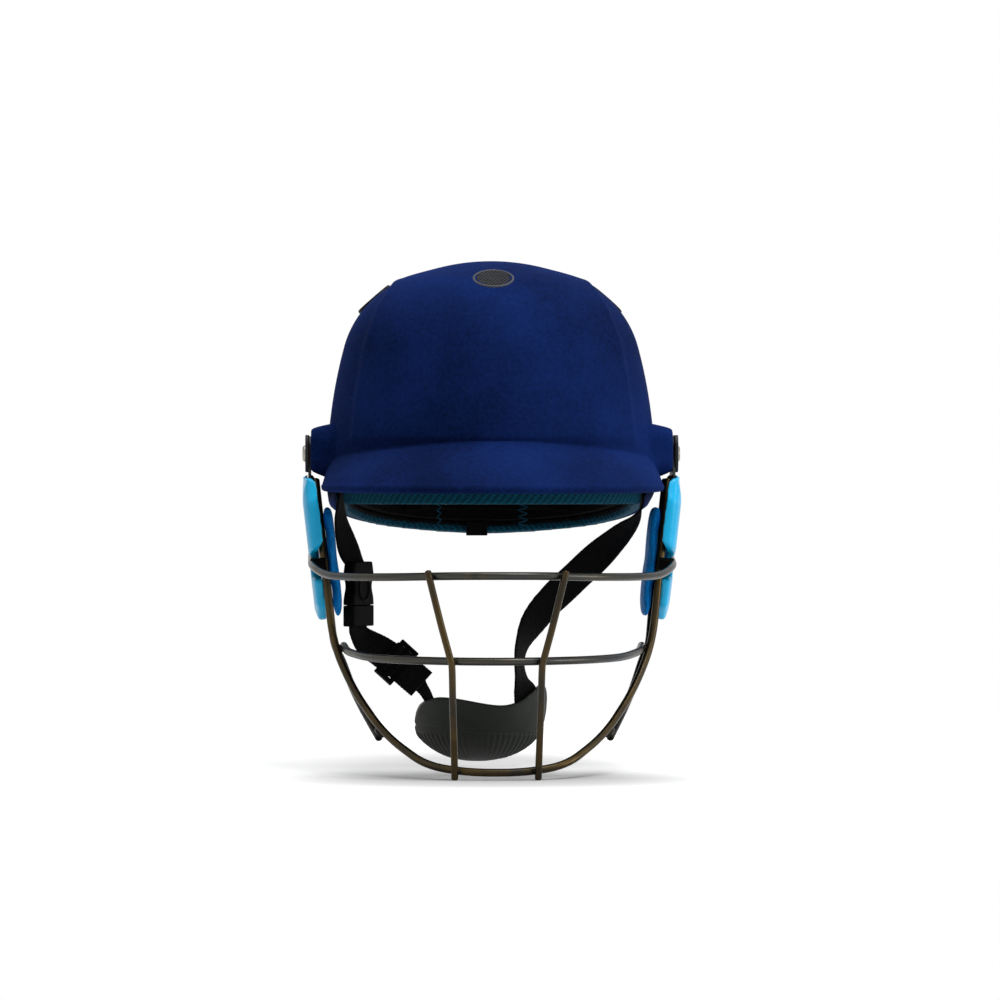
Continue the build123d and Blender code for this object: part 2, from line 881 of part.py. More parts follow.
strap_x = anchor_face - layer_gap - web_wall / 2
buckle_inset = 29.0
buckle_x = buckle_inset - guard_half_width
buckle_top = -46.0
buckle_turn_shares = (0.5, 0.87, 0.0)
strap_top = anchor_z + 7.0
strap_bend = anchor_z - 17.0
strap_half_way = anchor_z - 36.0
slot_depth = 5.0
strap_lean_share = 0.955

upper_points = (
    (-strap_x, anchor_y, strap_top),
    (-strap_x, anchor_y, strap_bend),
    (-strap_x * strap_lean_share, anchor_y, strap_half_way),
    (buckle_x, anchor_y, buckle_top + 2 * slot_depth),
    (buckle_x, anchor_y, buckle_top - slot_depth + layer_gap),
)
upper_turn_shares = (
    (0.0, 1.0, 0.0),
    (0.0, 1.0, 0.0),
    (0.3, 0.95, 0.0),
    (0.5, 0.87, 0.0),
    (0.5, 0.87, 0.0),
)
left_upper = webbing(upper_points, upper_turn_shares, (web_width,) * 5, web_wall)
save(anchored(left_upper), "left_strap_upper")

# Side-release buckle, upright below the left strap: y runs down it from the socket's top


def buckle_plane(down):
    """A plane across the buckle at a distance below the socket's top, facing down."""
    return Plane(
        origin=(buckle_x, anchor_y, buckle_top - down), x_dir=buckle_turn_shares, z_dir=(0, 0, -1)
    )


def buckle_block(width, wall, start, length, offset=0):
    """A block in the buckle's frame, from a distance below its top."""
    with BuildPart() as block:
        with BuildSketch(buckle_plane(start)):
            with Locations((offset, 0)):
                Rectangle(width, wall)
        extrude(amount=length)
    return block.part


cavity_width = buckle_width - 2 * buckle_skin
cavity_wall = buckle_wall - 2 * buckle_skin
cavity_start = slot_depth + buckle_skin
window_start = cavity_start + 2 * buckle_skin
window_length = prong_length / 2
with BuildPart() as buckle_socket:
    add(buckle_block(buckle_width, buckle_wall, 0, socket_length))
    outside = buckle_socket.edges().filter_by(Axis.Z)
    fillet(outside, buckle_wall / 4)
    add(
        buckle_block(web_width + 2 * slider_gap, web_wall + 2 * slider_gap, 0, slot_depth),
        mode=Mode.SUBTRACT,
    )
    add(
        buckle_block(cavity_width, cavity_wall, cavity_start, socket_length),
        mode=Mode.SUBTRACT,
    )
    for side in (-1, 1):
        add(
            buckle_block(
                buckle_width - cavity_width,
                cavity_wall,
                window_start,
                window_length,
                side * cavity_width / 2,
            ),
            mode=Mode.SUBTRACT,
        )
save(buckle_socket.part, "buckle_socket")

plug_start = socket_length + layer_gap
with BuildPart() as buckle_plug:
    add(buckle_block(buckle_width, buckle_wall, plug_start, plug_length))
    outside = buckle_plug.edges().filter_by(Axis.Z)
    fillet(outside, buckle_wall / 4)
    tongue = plug_start - cavity_start - buckle_skin
    core = cavity_wall - 2 * buckle_wall_gap
    add(buckle_block(prong_width * 2, core, plug_start - tongue, tongue))
    for side in (-1, 1):
        out = side * (cavity_width / 2 - buckle_wall_gap - prong_wall / 2)
        add(buckle_block(prong_wall, core, plug_start - prong_length, prong_length, out))
    slot_start = plug_start + plug_length - slot_depth
    add(
        buckle_block(web_width + 4 * slider_gap, web_wall + 4 * slider_gap, slot_start, slot_depth),
        mode=Mode.SUBTRACT,
    )
save(buckle_plug.part, "buckle_plug")

# Lower left band from the plug to the cup, with a straight run that the slider rides on

plug_end = buckle_top - plug_start - plug_length
run_half_x = 11.5
run_half_z = 10.5
run_inset = 50.5
run_x = run_inset - guard_half_width
run_z = -107.5
thin_x = -43.0
thin_z = -123.5
left_end = (-39.0, -21.0, -131.0)
left_tip = (-37.5, -20.5, -137.0)
lower_points = (
    (buckle_x, anchor_y, plug_end + slot_depth - layer_gap),
    (buckle_x, anchor_y, plug_end - run_half_z / 2),
    (run_x - run_half_x, anchor_y, run_z + run_half_z),
    (run_x + run_half_x, anchor_y, run_z - run_half_z),
    (thin_x, anchor_y, thin_z),
    left_end,
    left_tip,
)
lower_turn_shares = (
    (0.5, 0.87, 0.0),
    (0.5, 0.87, 0.0),
    (0.2, 0.95, 0.2),
    (0.2, 0.95, 0.2),
    (-0.2, 0.95, 0.0),
    (-0.6, 0.8, 0.0),
    (-0.6, 0.8, 0.0),
)
lower_widths = (web_width,) * 4 + (thin_web_width,) * 3
save(webbing(lower_points, lower_turn_shares, lower_widths, web_wall), "left_strap_lower")

run_along = Vector(run_half_x, 0, -run_half_z).normalized()
run_turn_shares = (0.2, 0.95, 0.2)


def run_plane(along, out):
    """A plane across the slider's run, at a distance along it and off its upper side."""
    width = Vector(*run_turn_shares)
    width = (width - run_along * width.dot(run_along)).normalized()
    off = run_along.cross(width)
    centre = Vector(run_x, anchor_y, run_z) + run_along * along + off * out
    return Plane(origin=centre, x_dir=width, z_dir=run_along)


tail_out = web_wall + 2 * layer_gap
slot_wall = 2 * web_wall + 4 * layer_gap
with BuildPart() as slider:
    with BuildSketch(run_plane(-slider_length / 2, -tail_out / 2)):
        RectangleRounded(web_width + 2 * slider_bar, slot_wall + 2 * slider_wall, slider_wall / 2)
        Rectangle(web_width + 2 * slider_gap, slot_wall, mode=Mode.SUBTRACT)
    extrude(amount=slider_length)
save(slider.part, "slider")

tail_route_shares = ((-0.5, -1.0), (0.7, -1.0), (1.25, -2.2), (1.75, -3.3))
tail_points = [
    tuple(run_plane(t * slider_length, n * tail_out).origin) for t, n in tail_route_shares
]
save(webbing(tail_points, (run_turn_shares,) * 4, (web_width,) * 4, web_wall), "strap_tail")

# Right band from its rivet across to the cup

right_mid_shares = (
    ((0.818, -0.1173), (0.25, 0.93, -0.25)),
    ((0.736, -0.17), (0.45, 0.7, -0.5)),
    ((0.59, -0.258), (0.58, 0.52, -0.6)),
    ((0.4536, -0.3402), (0.61, 0.47, -0.64)),
    ((0.3227, -0.4223), (0.61, 0.47, -0.64)),
    ((0.2382, -0.4927), (0.6, 0.65, -0.4)),
    ((0.1755, -0.5748), (0.5, 0.86, 0.0)),
    ((0.1591, -0.6393), (0.12, 0.99, 0.0)),
    ((0.168, -0.695), (0.6, 0.8, 0.0)),
)
right_end = (21.0, -26.2, -126.0)
right_tip = (22.0, -27.0, -138.0)
right_points = (
    [(strap_x, anchor_y, strap_top), (strap_x, anchor_y, strap_bend)]
    + [(x * guard_half_width, anchor_y, z * guard_drop) for (x, z), turn in right_mid_shares]
    + [right_end, right_tip]
)
right_turns = (
    [(0, 1, 0), (0, 1, 0)]
    + [turn for place, turn in right_mid_shares]
    + [(0.75, 0.66, 0), (0.75, 0.66, 0)]
)
right_band = webbing(right_points, right_turns, (web_width,) * len(right_points), web_wall)
save(anchored(right_band), "right_strap")

# Chin cup: a bowl's front half, trimmed to the outline seen from the front

cup_axis_y = 4.0
diagonal_share = math.sin(math.pi / 4)
cup_radius = 46.0
cup_outline_shares = (
    (-1.0, 0.037),
    (-0.758, 0.66),
    (-0.455, 0.689),
    (0.153, 0.519),
    (0.608, 0.635),
    (0.956, 1.0),
    (1.0, 0.349),
    (0.804, -0.48),
    (0.303, -0.92),
    (0.0, -1.0),
    (-0.499, -0.871),
    (-0.908, -0.432),
)


def cup_bowl(inset, thick):
    """The front half of a round bowl with upright sides and a turned-in foot."""
    radius = cup_radius - inset
    low = cup_z - cup_height / 2 + inset
    bend = radius - cup_foot
    with BuildPart() as bowl:
        with BuildSketch(Plane.XZ.offset(-cup_axis_y)):
            with BuildLine():
                Line((cup_foot, low + thick), (cup_foot, low))
                ThreePointArc(
                    (cup_foot, low),
                    (cup_foot + bend * diagonal_share, low + bend * (1 - diagonal_share)),
                    (radius, low + bend),
                )
                Polyline(
                    (radius, low + bend),
                    (radius, cup_z + cup_height),
                    (radius - thick, cup_z + cup_height),
                    (radius - thick, low + bend),
                )
                ThreePointArc(
                    (radius - thick, low + bend),
                    (
                        cup_foot + (bend - thick) * diagonal_share,
                        low + thick + (bend - thick) * (1 - diagonal_share),
                    ),
                    (cup_foot, low + thick),
                )
            make_face()
        revolve(axis=Axis((0, cup_axis_y, 0), (0, 0, 1)), revolution_arc=-180)
    return Pos(cup_x, 0, 0) * bowl.part


def cup_front(scale):
    """The outline seen from the front, as a bar that runs fore and aft."""
    points = [
        (cup_x + u * scale * cup_width / 2, cup_z + v * scale * cup_height / 2)
        for u, v in cup_outline_shares
    ]
    with BuildPart() as front:
        with BuildSketch(Plane.XZ.offset(-far / 2)):
            with BuildLine():
                Spline(*points, periodic=True)
            make_face()
        extrude(amount=far)
    return front.part


groove_level = -152.0
groove_wall = 1.2
pocket_gap = 0.4
lining_scale_share = 0.9


def end_pocket(end, tip, turn, width):
    """Room for a strap's end in the cup's wall, to cut with."""
    drop = (Vector(*tip) - Vector(*end)).normalized()
    points = (tuple(Vector(*end) - drop * overrun * 2), tuple(Vector(*tip) + drop * pocket_gap))
    grown = width + 2 * pocket_gap
    return webbing(points, (turn,) * 2, (grown,) * 2, web_wall + 2 * pocket_gap)


with BuildPart() as chin_cup:
    add(cup_bowl(0, cup_wall))
    add(cup_front(1), mode=Mode.INTERSECT)
    with BuildSketch(Plane.XY.offset(groove_level)):
        with Locations((cup_x, cup_axis_y)):
            Circle(cup_radius + overrun)
            Circle(cup_radius - groove_wall, mode=Mode.SUBTRACT)
    extrude(amount=groove_wall, mode=Mode.SUBTRACT)
    add(end_pocket(left_end, left_tip, (-0.6, 0.8, 0), thin_web_width), mode=Mode.SUBTRACT)
    add(end_pocket(right_end, right_tip, (0.75, 0.66, 0), web_width), mode=Mode.SUBTRACT)
save(chin_cup.part, "chin_cup")

with BuildPart() as cup_lining:
    add(cup_bowl(cup_wall + layer_gap, cup_lining_wall))
    add(cup_front(lining_scale_share), mode=Mode.INTERSECT)
save(cup_lining.part, "cup_lining")
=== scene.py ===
import json
import math

import bmesh
import bpy
import numpy as np
from mathutils import Matrix, Vector


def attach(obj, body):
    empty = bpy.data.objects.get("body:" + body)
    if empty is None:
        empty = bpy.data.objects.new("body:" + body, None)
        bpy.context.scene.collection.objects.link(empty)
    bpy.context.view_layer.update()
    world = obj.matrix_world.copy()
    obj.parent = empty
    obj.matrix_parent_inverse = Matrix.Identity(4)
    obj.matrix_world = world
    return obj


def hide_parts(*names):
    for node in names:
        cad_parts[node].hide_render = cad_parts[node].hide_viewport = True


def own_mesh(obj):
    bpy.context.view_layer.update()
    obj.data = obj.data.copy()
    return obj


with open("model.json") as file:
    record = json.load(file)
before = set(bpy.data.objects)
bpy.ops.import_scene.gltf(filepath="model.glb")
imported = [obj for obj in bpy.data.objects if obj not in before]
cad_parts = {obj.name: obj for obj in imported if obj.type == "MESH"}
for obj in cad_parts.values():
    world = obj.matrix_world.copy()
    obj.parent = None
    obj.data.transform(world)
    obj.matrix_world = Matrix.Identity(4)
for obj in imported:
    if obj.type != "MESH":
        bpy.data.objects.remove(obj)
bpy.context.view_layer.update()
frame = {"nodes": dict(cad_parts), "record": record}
nodes = frame["nodes"]
MM = 0.001
SIDES = ((-1, "left"), (1, "right"))

# Shader helpers. Coordinates are metres in the helmet's own frame.


def add_node(tree, kind, inputs=(), **props):
    """A shader node whose inputs, in their order or by name, take sockets or values."""
    made = tree.nodes.new("ShaderNode" + kind)
    for key, value in props.items():
        setattr(made, key, value)
    for place, value in inputs.items() if isinstance(inputs, dict) else enumerate(inputs):
        if isinstance(value, bpy.types.NodeSocket):
            tree.links.new(value, made.inputs[place])
        else:
            made.inputs[place].default_value = value
    return made


class Finish:
    """A node material built on the Principled shader."""

    def __init__(self, name, rough, metal=0.0, gloss=0.5, **sockets):
        self.mat = bpy.data.materials.new(name)
        self.mat.use_nodes = True
        self.tree = self.mat.node_tree
        self.shader = self.tree.nodes["Principled BSDF"]
        self.set("Roughness", rough)
        self.set("Metallic", metal)
        self.set("Specular IOR Level", gloss)
        for key, value in sockets.items():
            self.set(key.replace("_", " "), value)
        self.coords = self.node("TexCoord").outputs["Object"]
        self.uv = self.node("TexCoord").outputs["UV"]
        self.height = None

    def set(self, socket, value):
        self.shader.inputs[socket].default_value = value

    def node(self, kind, inputs=(), **props):
        return add_node(self.tree, kind, inputs, **props)

    def noise(self, scale, detail=3.0):
        values = {"Vector": self.coords, "Scale": scale, "Detail": detail}
        return self.node("TexNoise", values).outputs["Fac"]

    def math(self, operation, a, b=0.0):
        return self.node("Math", (a, b), operation=operation).outputs[0]

    def wave(self, value, pitch):
        """A sine that repeats at each pitch."""
        return self.math("SINE", self.math("MULTIPLY", value, 2 * math.pi / pitch))

    def ramp(self, factor, stops):
        made = self.node("ValToRGB", (factor,))
        points = made.color_ramp.elements
        while len(points) < len(stops):
            points.new(0.5)
        for point, (place, colour) in zip(points, stops):
            point.position = place
            point.color = (*colour, 1.0)
        return made.outputs["Color"]

    def scalar_ramp(self, factor, low, high, start=0.0, end=1.0):
        return self.node("MapRange", (factor, start, end, low, high)).outputs[0]

    def colour(self, socket):
        self.tree.links.new(socket, self.shader.inputs["Base Color"])

    def rough(self, socket):
        self.tree.links.new(socket, self.shader.inputs["Roughness"])

    def raise_by(self, factor, depth):
        """Adds factor times depth in metres to the relief."""
        part = self.math("MULTIPLY", factor, depth)
        self.height = self.math("ADD", self.height, part) if self.height else part

    def done(self, strength=1.0):
        if self.height:
            bump = self.node("Bump", {"Height": self.height, "Strength": strength, "Distance": 1.0})
            self.tree.links.new(bump.outputs["Normal"], self.shader.inputs["Normal"])
        return self.mat


def weave(finish, pitch):
    """A plain weave that reads on any side: ribs along each axis, added up."""
    turns = [2 * math.pi / pitch] * 3
    scaled = finish.node("VectorMath", (finish.coords, turns), operation="MULTIPLY")
    waves = finish.node("VectorMath", scaled.outputs[:1], operation="SINE")
    split = finish.node("SeparateXYZ", waves.outputs[:1])
    total = finish.math("ADD", split.outputs[0], split.outputs[1])
    return finish.math("ADD", total, split.outputs[2])


def tinted(colour, share):
    return tuple(min(1.0, c * share) for c in colour)


def mottled(finish, colour, scale, low, high):
    spots = finish.noise(scale, 4.0)
    finish.colour(finish.ramp(spots, [(0.3, tinted(colour, low)), (0.7, tinted(colour, high))]))


def cloth_finish(name, colour, pitch, depth, sheen):
    made = Finish(name, 0.92, gloss=0.04, Sheen_Weight=sheen, Sheen_Roughness=0.45)
    made.set("Sheen Tint", (*tinted(colour, 6.0), 1.0))
    wide = made.noise(14.0, 5.0)
    grain = made.noise(420.0, 2.0)
    mixed = made.math("ADD", made.math("MULTIPLY", wide, 0.7), made.math("MULTIPLY", grain, 0.3))
    stops = [(0.36, tinted(colour, 0.55)), (0.5, colour), (0.66, tinted(colour, 1.45))]
    made.colour(made.ramp(mixed, stops))
    made.raise_by(weave(made, pitch), depth)
    made.raise_by(made.noise(900.0, 2.0), depth * 2)
    made.raise_by(made.noise(60.0, 3.0), depth * 5)
    return made.done()


def webbing_finish(name, colour):
    """Woven tape: UV is metres across and along."""
    made = Finish(name, 0.85, gloss=0.06, Sheen_Weight=0.03, Sheen_Roughness=0.5)
    across, along = made.node("SeparateXYZ", (made.uv,)).outputs[:2]
    fold = made.math("PINGPONG", across, 2.5 * MM)
    twill = made.wave(made.math("ADD", along, fold), 1.4 * MM)
    made.raise_by(twill, 0.1 * MM)
    made.raise_by(made.wave(across, 0.9 * MM), 0.05 * MM)
    shade = made.scalar_ramp(twill, 0.0, 1.0, -1.0, 1.0)
    made.colour(made.ramp(shade, [(0.0, tinted(colour, 0.6)), (1.0, tinted(colour, 1.5))]))
    return made.done()


def mesh_cloth_finish(name, colour, piped=False):
    """Spacer mesh with slanted open cells: UV is metres along and across the band."""
    made = Finish(name, 0.8, gloss=0.08, Sheen_Weight=0.04, Sheen_Roughness=0.4)
    along, across = made.node("SeparateXYZ", (made.uv,)).outputs[:2]
    slant = made.math("ADD", along, made.math("MULTIPLY", across, 0.9))
    cells = made.math("MULTIPLY", made.wave(slant, 4.2 * MM), made.wave(across, 2.6 * MM))
    shade = made.ramp(
        made.scalar_ramp(cells, 0.0, 1.0, -1.0, 1.0),
        [(0.0, tinted(colour, 0.25)), (0.45, tinted(colour, 0.9)), (1.0, tinted(colour, 1.5))],
    )
    if piped:
        mask = made.node("Attribute", attribute_name="piping").outputs["Fac"]
        black = (0.002, 0.002, 0.0025, 1.0)
        mixed = made.node("Mix", {0: mask, 6: black, 7: shade}, data_type="RGBA")
        shade = mixed.outputs[2]
    made.colour(shade)
    made.raise_by(cells, 0.25 * MM)
    made.raise_by(made.noise(1500.0, 2.0), 0.1 * MM)
    return made.done()


def plastic_finish(name, colour, rough, grain, depth, coat=0.0, low=0.85, high=1.15, gloss=0.2):
    made = Finish(name, rough, gloss=gloss, Coat_Weight=coat, Coat_Roughness=0.08)
    mottled(made, colour, 40.0, low, high)
    made.rough(made.scalar_ramp(made.noise(120.0, 4.0), rough * 0.85, min(1.0, rough * 1.2)))
    made.raise_by(made.noise(grain, 3.0), depth)
    return made.done()


def wire_finish(name, colour, warm, rough):
    """Drawn and plated steel wire with a patchy tint and faint drawing marks."""
    made = Finish(name, rough, 1.0)
    fac = made.noise(35.0, 5.0)
    made.colour(made.ramp(fac, [(0.32, colour), (0.62, warm), (0.8, tinted(colour, 0.6))]))
    made.rough(made.scalar_ramp(made.noise(150.0, 4.0), rough * 0.75, rough * 1.35))
    made.raise_by(made.noise(260.0, 4.0), 0.12 * MM)
    made.raise_by(made.noise(2500.0, 2.0), 0.01 * MM)
    return made.done()


def foam_finish(name, colour, cell, depth, rough=0.8):
    made = Finish(name, rough, gloss=0.06)
    values = {"Vector": made.coords, "Scale": cell}
    cells = made.node("TexVoronoi", values, feature="F1").outputs["Distance"]
    made.colour(made.ramp(cells, [(0.1, tinted(colour, 1.15)), (0.75, tinted(colour, 0.78))]))
    made.raise_by(cells, -depth)
    return made.done()


NAVY = (0.0034, 0.0135, 0.078)
TEAL = (0.002, 0.06, 0.105)
CYAN = (0.003, 0.47, 0.84)

FINISHES = {
    "navy_cloth": (cloth_finish, NAVY, 0.75 * MM, 0.02 * MM, 0.05),
    "shell_plastic": (plastic_finish, (0.02, 0.02, 0.022), 0.5, 900.0, 0.03 * MM),
    "liner_foam": (foam_finish, (0.0015, 0.0015, 0.0017), 420.0, 0.25 * MM),
    "pad_fabric": (cloth_finish, (0.0012, 0.0012, 0.0014), 0.9 * MM, 0.03 * MM, 0.005),
    "teal_mesh": (mesh_cloth_finish, TEAL),
    "teal_piping": (mesh_cloth_finish, TEAL, True),
    "vent_plastic": (plastic_finish, (0.04, 0.041, 0.048), 0.42, 700.0, 0.03 * MM),
    "vent_black": (plastic_finish, (0.004, 0.004, 0.005), 0.5, 700.0, 0.03 * MM, 0.0, 0.85, 1.15, 0.08),
    "guard_steel": (wire_finish, (0.034, 0.036, 0.039), (0.05, 0.046, 0.036), 0.3),
    "upright_steel": (wire_finish, (0.026, 0.023, 0.018), (0.055, 0.038, 0.016), 0.32),
    # A darker copy of the grille's steel, as painted shade for the wires at the helmet's shaded sides; the
    # weld beads wear it too
    "side_steel": (wire_finish, (0.006, 0.006, 0.006), (0.014, 0.012, 0.009), 0.3),
    "nickel": (wire_finish, (0.2, 0.2, 0.19), (0.3, 0.28, 0.24), 0.3),
    "ear_plastic": (plastic_finish, CYAN, 0.3, 300.0, 0.03 * MM, 0.05, 0.94, 1.05, 0.25),
    "ear_foam": (foam_finish, (0.003, 0.2, 0.6), 900.0, 0.06 * MM, 0.6),
    "webbing": (webbing_finish, (0.0028, 0.0028, 0.003)),
    "buckle_plastic": (plastic_finish, (0.002, 0.002, 0.002), 0.5, 800.0, 0.02 * MM, 0.0, 0.85, 1.15, 0.02),
    "cup_rubber": (plastic_finish, (0.018, 0.021, 0.017), 0.55, 1100.0, 0.05 * MM),
    "bracket_black": (plastic_finish, (0.006, 0.006, 0.007), 0.35, 500.0, 0.02 * MM),
    "lining_foam": (cloth_finish, (0.02, 0.02, 0.021), 0.8 * MM, 0.03 * MM, 0.1),
}
looks = {name: make(name, *values) for name, (make, *values) in FINISHES.items()}
slot_of_node = {s["node"]: s["material_slot"] for s in frame["record"]["subparts"]}


def dress(obj, look):
    obj.data.materials.clear()
    obj.data.materials.append(looks[look])


for node_name, node in nodes.items():
    dress(node, slot_of_node[node_name])
    for polygon in node.data.polygons:
        polygon.use_smooth = True


# The side wires take the darker steel copy: painted shade
for _, word in SIDES:
    dress(nodes[word + "_bracket"], "bracket_black")
    dress(nodes[word + "_side_wire"], "side_steel")
dress(nodes["frame_wire"], "upright_steel")


def added(name, data):
    """A new object in the scene's own collection."""
    obj = bpy.data.objects.new(name, data)
    bpy.context.scene.collection.objects.link(obj)
    return obj


def modify(obj, kind, **settings):
    modifier = obj.modifiers.new(kind.lower(), kind)
    for key, value in settings.items():
        setattr(modifier, key, value)
    return modifier


def link(name, mesh, look, body, standing_for=()):
    """A new piece, with its finish, that rides on a body and may stand for CAD nodes."""
    obj = added(name, mesh)
    dress(obj, look)
    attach(obj, body)
    if standing_for:
        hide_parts(*standing_for)
    return obj


def mesh_from(name, points, faces, smooth=True, merge=0.0):
    mesh = bpy.data.meshes.new(name)
    mesh.from_pydata([tuple(map(float, p)) for p in points], [], faces)
    work = bmesh.new()
    work.from_mesh(mesh)
    if merge:
        bmesh.ops.remove_doubles(work, verts=work.verts, dist=merge)
    bmesh.ops.recalc_face_normals(work, faces=work.faces)
    work.to_mesh(mesh)
    work.free()
    for polygon in mesh.polygons:
        polygon.use_smooth = smooth
    return mesh


def piece(name, form, look, body, standing_for=(), **how):
    """A new piece from its points in metres and its faces."""
    return link(name, mesh_from(name, *form, **how), look, body, standing_for)


def circle(count):
    """Cosine and sine at even steps of a full turn."""
    turns = [2 * math.pi * step / count for step in range(count)]
    return [(math.cos(turn), math.sin(turn)) for turn in turns]


def grid_faces(rows, sides):
    """Quads between closed rows of points."""
    faces = []
    for row in range(0, (rows - 1) * sides, sides):
        for side in range(sides):
            here, after = row + side, row + (side + 1) % sides
            faces.append((here, after, after + sides, here + sides))
    return faces


def bar_faces(rows, sides):
    """Quads along closed rows of points, with a cap on each end."""
    last = rows * sides - 1
    return grid_faces(rows, sides) + [tuple(range(sides)), tuple(range(last, last - sides, -1))]


def ring_faces(steps, sides):
    """Quads round a ring whose section and path are both closed."""
    return [[i % (steps * sides) for i in face] for face in grid_faces(steps + 1, sides)]


# Shell form, in millimetres, from the same sizes as the CAD

WIDTH, FRONT, REAR, HEIGHT = 205.0, 118.0, 138.0, 142.0
GIRTH, CROWN_R, SHOULDER_R, SIDE_R = 10.0, 133.0, 62.0, 300.0
FRONT_AXIS, REAR_AXIS = WIDTH / 2 - FRONT, REAR - WIDTH / 2
PEAK_HALF, PEAK_REACH, PEAK_ROOT, PEAK_INSET, PEAK_BLEND = 105.5, 45.0, 30.0, 4.5, 8.0
NAPE_FALL, RIM_FRONT = 27.0, 45.0
PIVOT_Y, BOSS_Z, BOSS_FACE = -22.0, 23.8, 112.5
BOSS_LONG, BOSS_HIGH, BOSS_CORNER, BOSS_BLEND = 44.0, 27.0, 8.0, 1.6
FLANK_SLOPE, FLANK_EASE = 4.7, 2.2

crown_z = HEIGHT - CROWN_R
side_x = WIDTH / 2 - SIDE_R
to_crown, to_side = CROWN_R - SHOULDER_R, SIDE_R - SHOULDER_R
gap = np.array([side_x, GIRTH - crown_z])
gap_length = np.hypot(*gap)
along = (to_crown**2 - to_side**2 + gap_length**2) / (2 * gap_length)
off = math.sqrt(to_crown**2 - along**2)
unit = gap / gap_length
shoulder = np.array([0, crown_z]) + unit * along + np.array([unit[1], -unit[0]]) * off
high_turn = math.atan2(shoulder[0], shoulder[1] - crown_z)
low_turn = math.atan2(shoulder[0] - side_x, shoulder[1] - GIRTH)
high_level = crown_z + CROWN_R * math.cos(high_turn)
low_level = GIRTH + SIDE_R * math.cos(low_turn)


def profile(turn):
    """Reach and height of the dome's outline where its normal leans by turn from upright."""
    if turn < high_turn:
        return CROWN_R * math.sin(turn), crown_z + CROWN_R * math.cos(turn)
    if turn < low_turn:
        return shoulder[0] + SHOULDER_R * math.sin(turn), shoulder[1] + SHOULDER_R * math.cos(turn)
    return side_x + SIDE_R * math.sin(turn), GIRTH + SIDE_R * math.cos(turn)


def dome_reach(z):
    if z > high_level:
        return math.sqrt(max(0.0, CROWN_R**2 - (z - crown_z) ** 2))
    if z > low_level:
        return shoulder[0] + math.sqrt(SHOULDER_R**2 - (z - shoulder[1]) ** 2)
    return side_x + math.sqrt(SIDE_R**2 - (z - GIRTH) ** 2)


def clamped_cubic(xs, ys, start, end):
    """Slopes of the cubic through the points with the given end slopes."""
    count = len(xs)
    matrix, values = np.zeros((count, count)), np.zeros(count)
    matrix[0, 0] = matrix[-1, -1] = 1
    values[0], values[-1] = start, end
    for i in range(1, count - 1):
        before, after = xs[i] - xs[i - 1], xs[i + 1] - xs[i]
        matrix[i, i - 1 : i + 2] = after, 2 * (before + after), before
        rise_before, rise_after = ys[i] - ys[i - 1], ys[i + 1] - ys[i]
        values[i] = 3 * (after * rise_before / before + before * rise_after / after)
    return np.linalg.solve(matrix, values)


def cubic_at(x, xs, ys, slopes):
    x = min(max(x, xs[0]), xs[-1])
    i = min(int(np.searchsorted(xs, x, side="right")) - 1, len(xs) - 2)
    width = xs[i + 1] - xs[i]
    t = (x - xs[i]) / width
    return (
        (2 * t**3 - 3 * t**2 + 1) * ys[i]
        + (t**3 - 2 * t**2 + t) * width * slopes[i]
        + (3 * t**2 - 2 * t**3) * ys[i + 1]
        + (t**3 - t**2) * width * slopes[i + 1]
    )


rim_xs = -RIM_FRONT + np.array((0.0, 0.2, 0.5, 0.8, 1.0)) * (REAR + RIM_FRONT)
rim_zs = -np.array((0.0, 0.16, 0.42, 0.8, 1.1)) * NAPE_FALL
rim_slopes = clamped_cubic(rim_xs, rim_zs, 0.0, -0.4)
growth_xs = np.array((0.0, 0.2, 0.55, 1.0)) * PEAK_ROOT
growth_ys = np.array((1.0, 0.86, 0.52, 0.0))
growth_fit = np.polyfit(growth_xs, growth_ys, 3)


def rim_z(y):
    return float(cubic_at(y, rim_xs, rim_zs, rim_slopes)) if y > -RIM_FRONT else 0.0


def smooth_max(a, b, soft):
    return 0.5 * (a + b + math.sqrt((a - b) ** 2 + soft**2)) - 0.5 * soft * math.exp(-abs(a - b) / soft)


def smooth_step(value):
    value = min(1.0, max(0.0, value))
    return value * value * (3 - 2 * value)


def peak_reach(centre_y, ray, z):
    """How far the peak's circle at a level lies along a ray from the dome's axis."""
    growth = float(np.polyval(growth_fit, z))
    root = WIDTH / 2 - PEAK_INSET
    radius = root + growth * (PEAK_HALF - root)
    middle = FRONT_AXIS + growth * (PEAK_HALF - FRONT - PEAK_REACH - FRONT_AXIS)
    back = middle - centre_y
    dot = back * ray[1]
    inside = radius**2 - back**2 + dot**2
    return dot + math.sqrt(inside) if inside > 0 else 0.0


def shell_reach(centre_y, ray, z):
    reach = dome_reach(z)
    if z < PEAK_ROOT + 8:
        level = z * (1 + 0.32 * ray[0] ** 2)
        reach = smooth_max(reach, peak_reach(centre_y, ray, min(level, PEAK_ROOT)), PEAK_BLEND)
    return reach


def boss_x(y, z):
    """Where the boss's face or flank stands at a place seen from the side."""
    flat_y, flat_z = BOSS_LONG / 2 - BOSS_CORNER, BOSS_HIGH / 2 - BOSS_CORNER
    dy, dz = abs(y - PIVOT_Y) - flat_y, abs(z - BOSS_Z) - flat_z
    outside = math.hypot(max(dy, 0), max(dz, 0)) + min(max(dy, dz), 0) - BOSS_CORNER
    soft = 0.55
    ramp = outside if outside > 10 else soft * math.log1p(math.exp(outside / soft))
    return BOSS_FACE - (FLANK_SLOPE - FLANK_EASE * smooth_step((BOSS_Z - z) / 12)) * ramp


RIDGE_Z = (18.0, 55.0, 89.0, 111.5, 128.0, 140.0)
RIDGE_X = (87.5, 83.5, 78.0, 70.0, 60.0, 48.0)


def spot(y, ray, reach, level):
    """A place on a station's ray, at a reach from the dome's axis line."""
    return Vector((ray[0] * reach, y + ray[1] * reach, level))


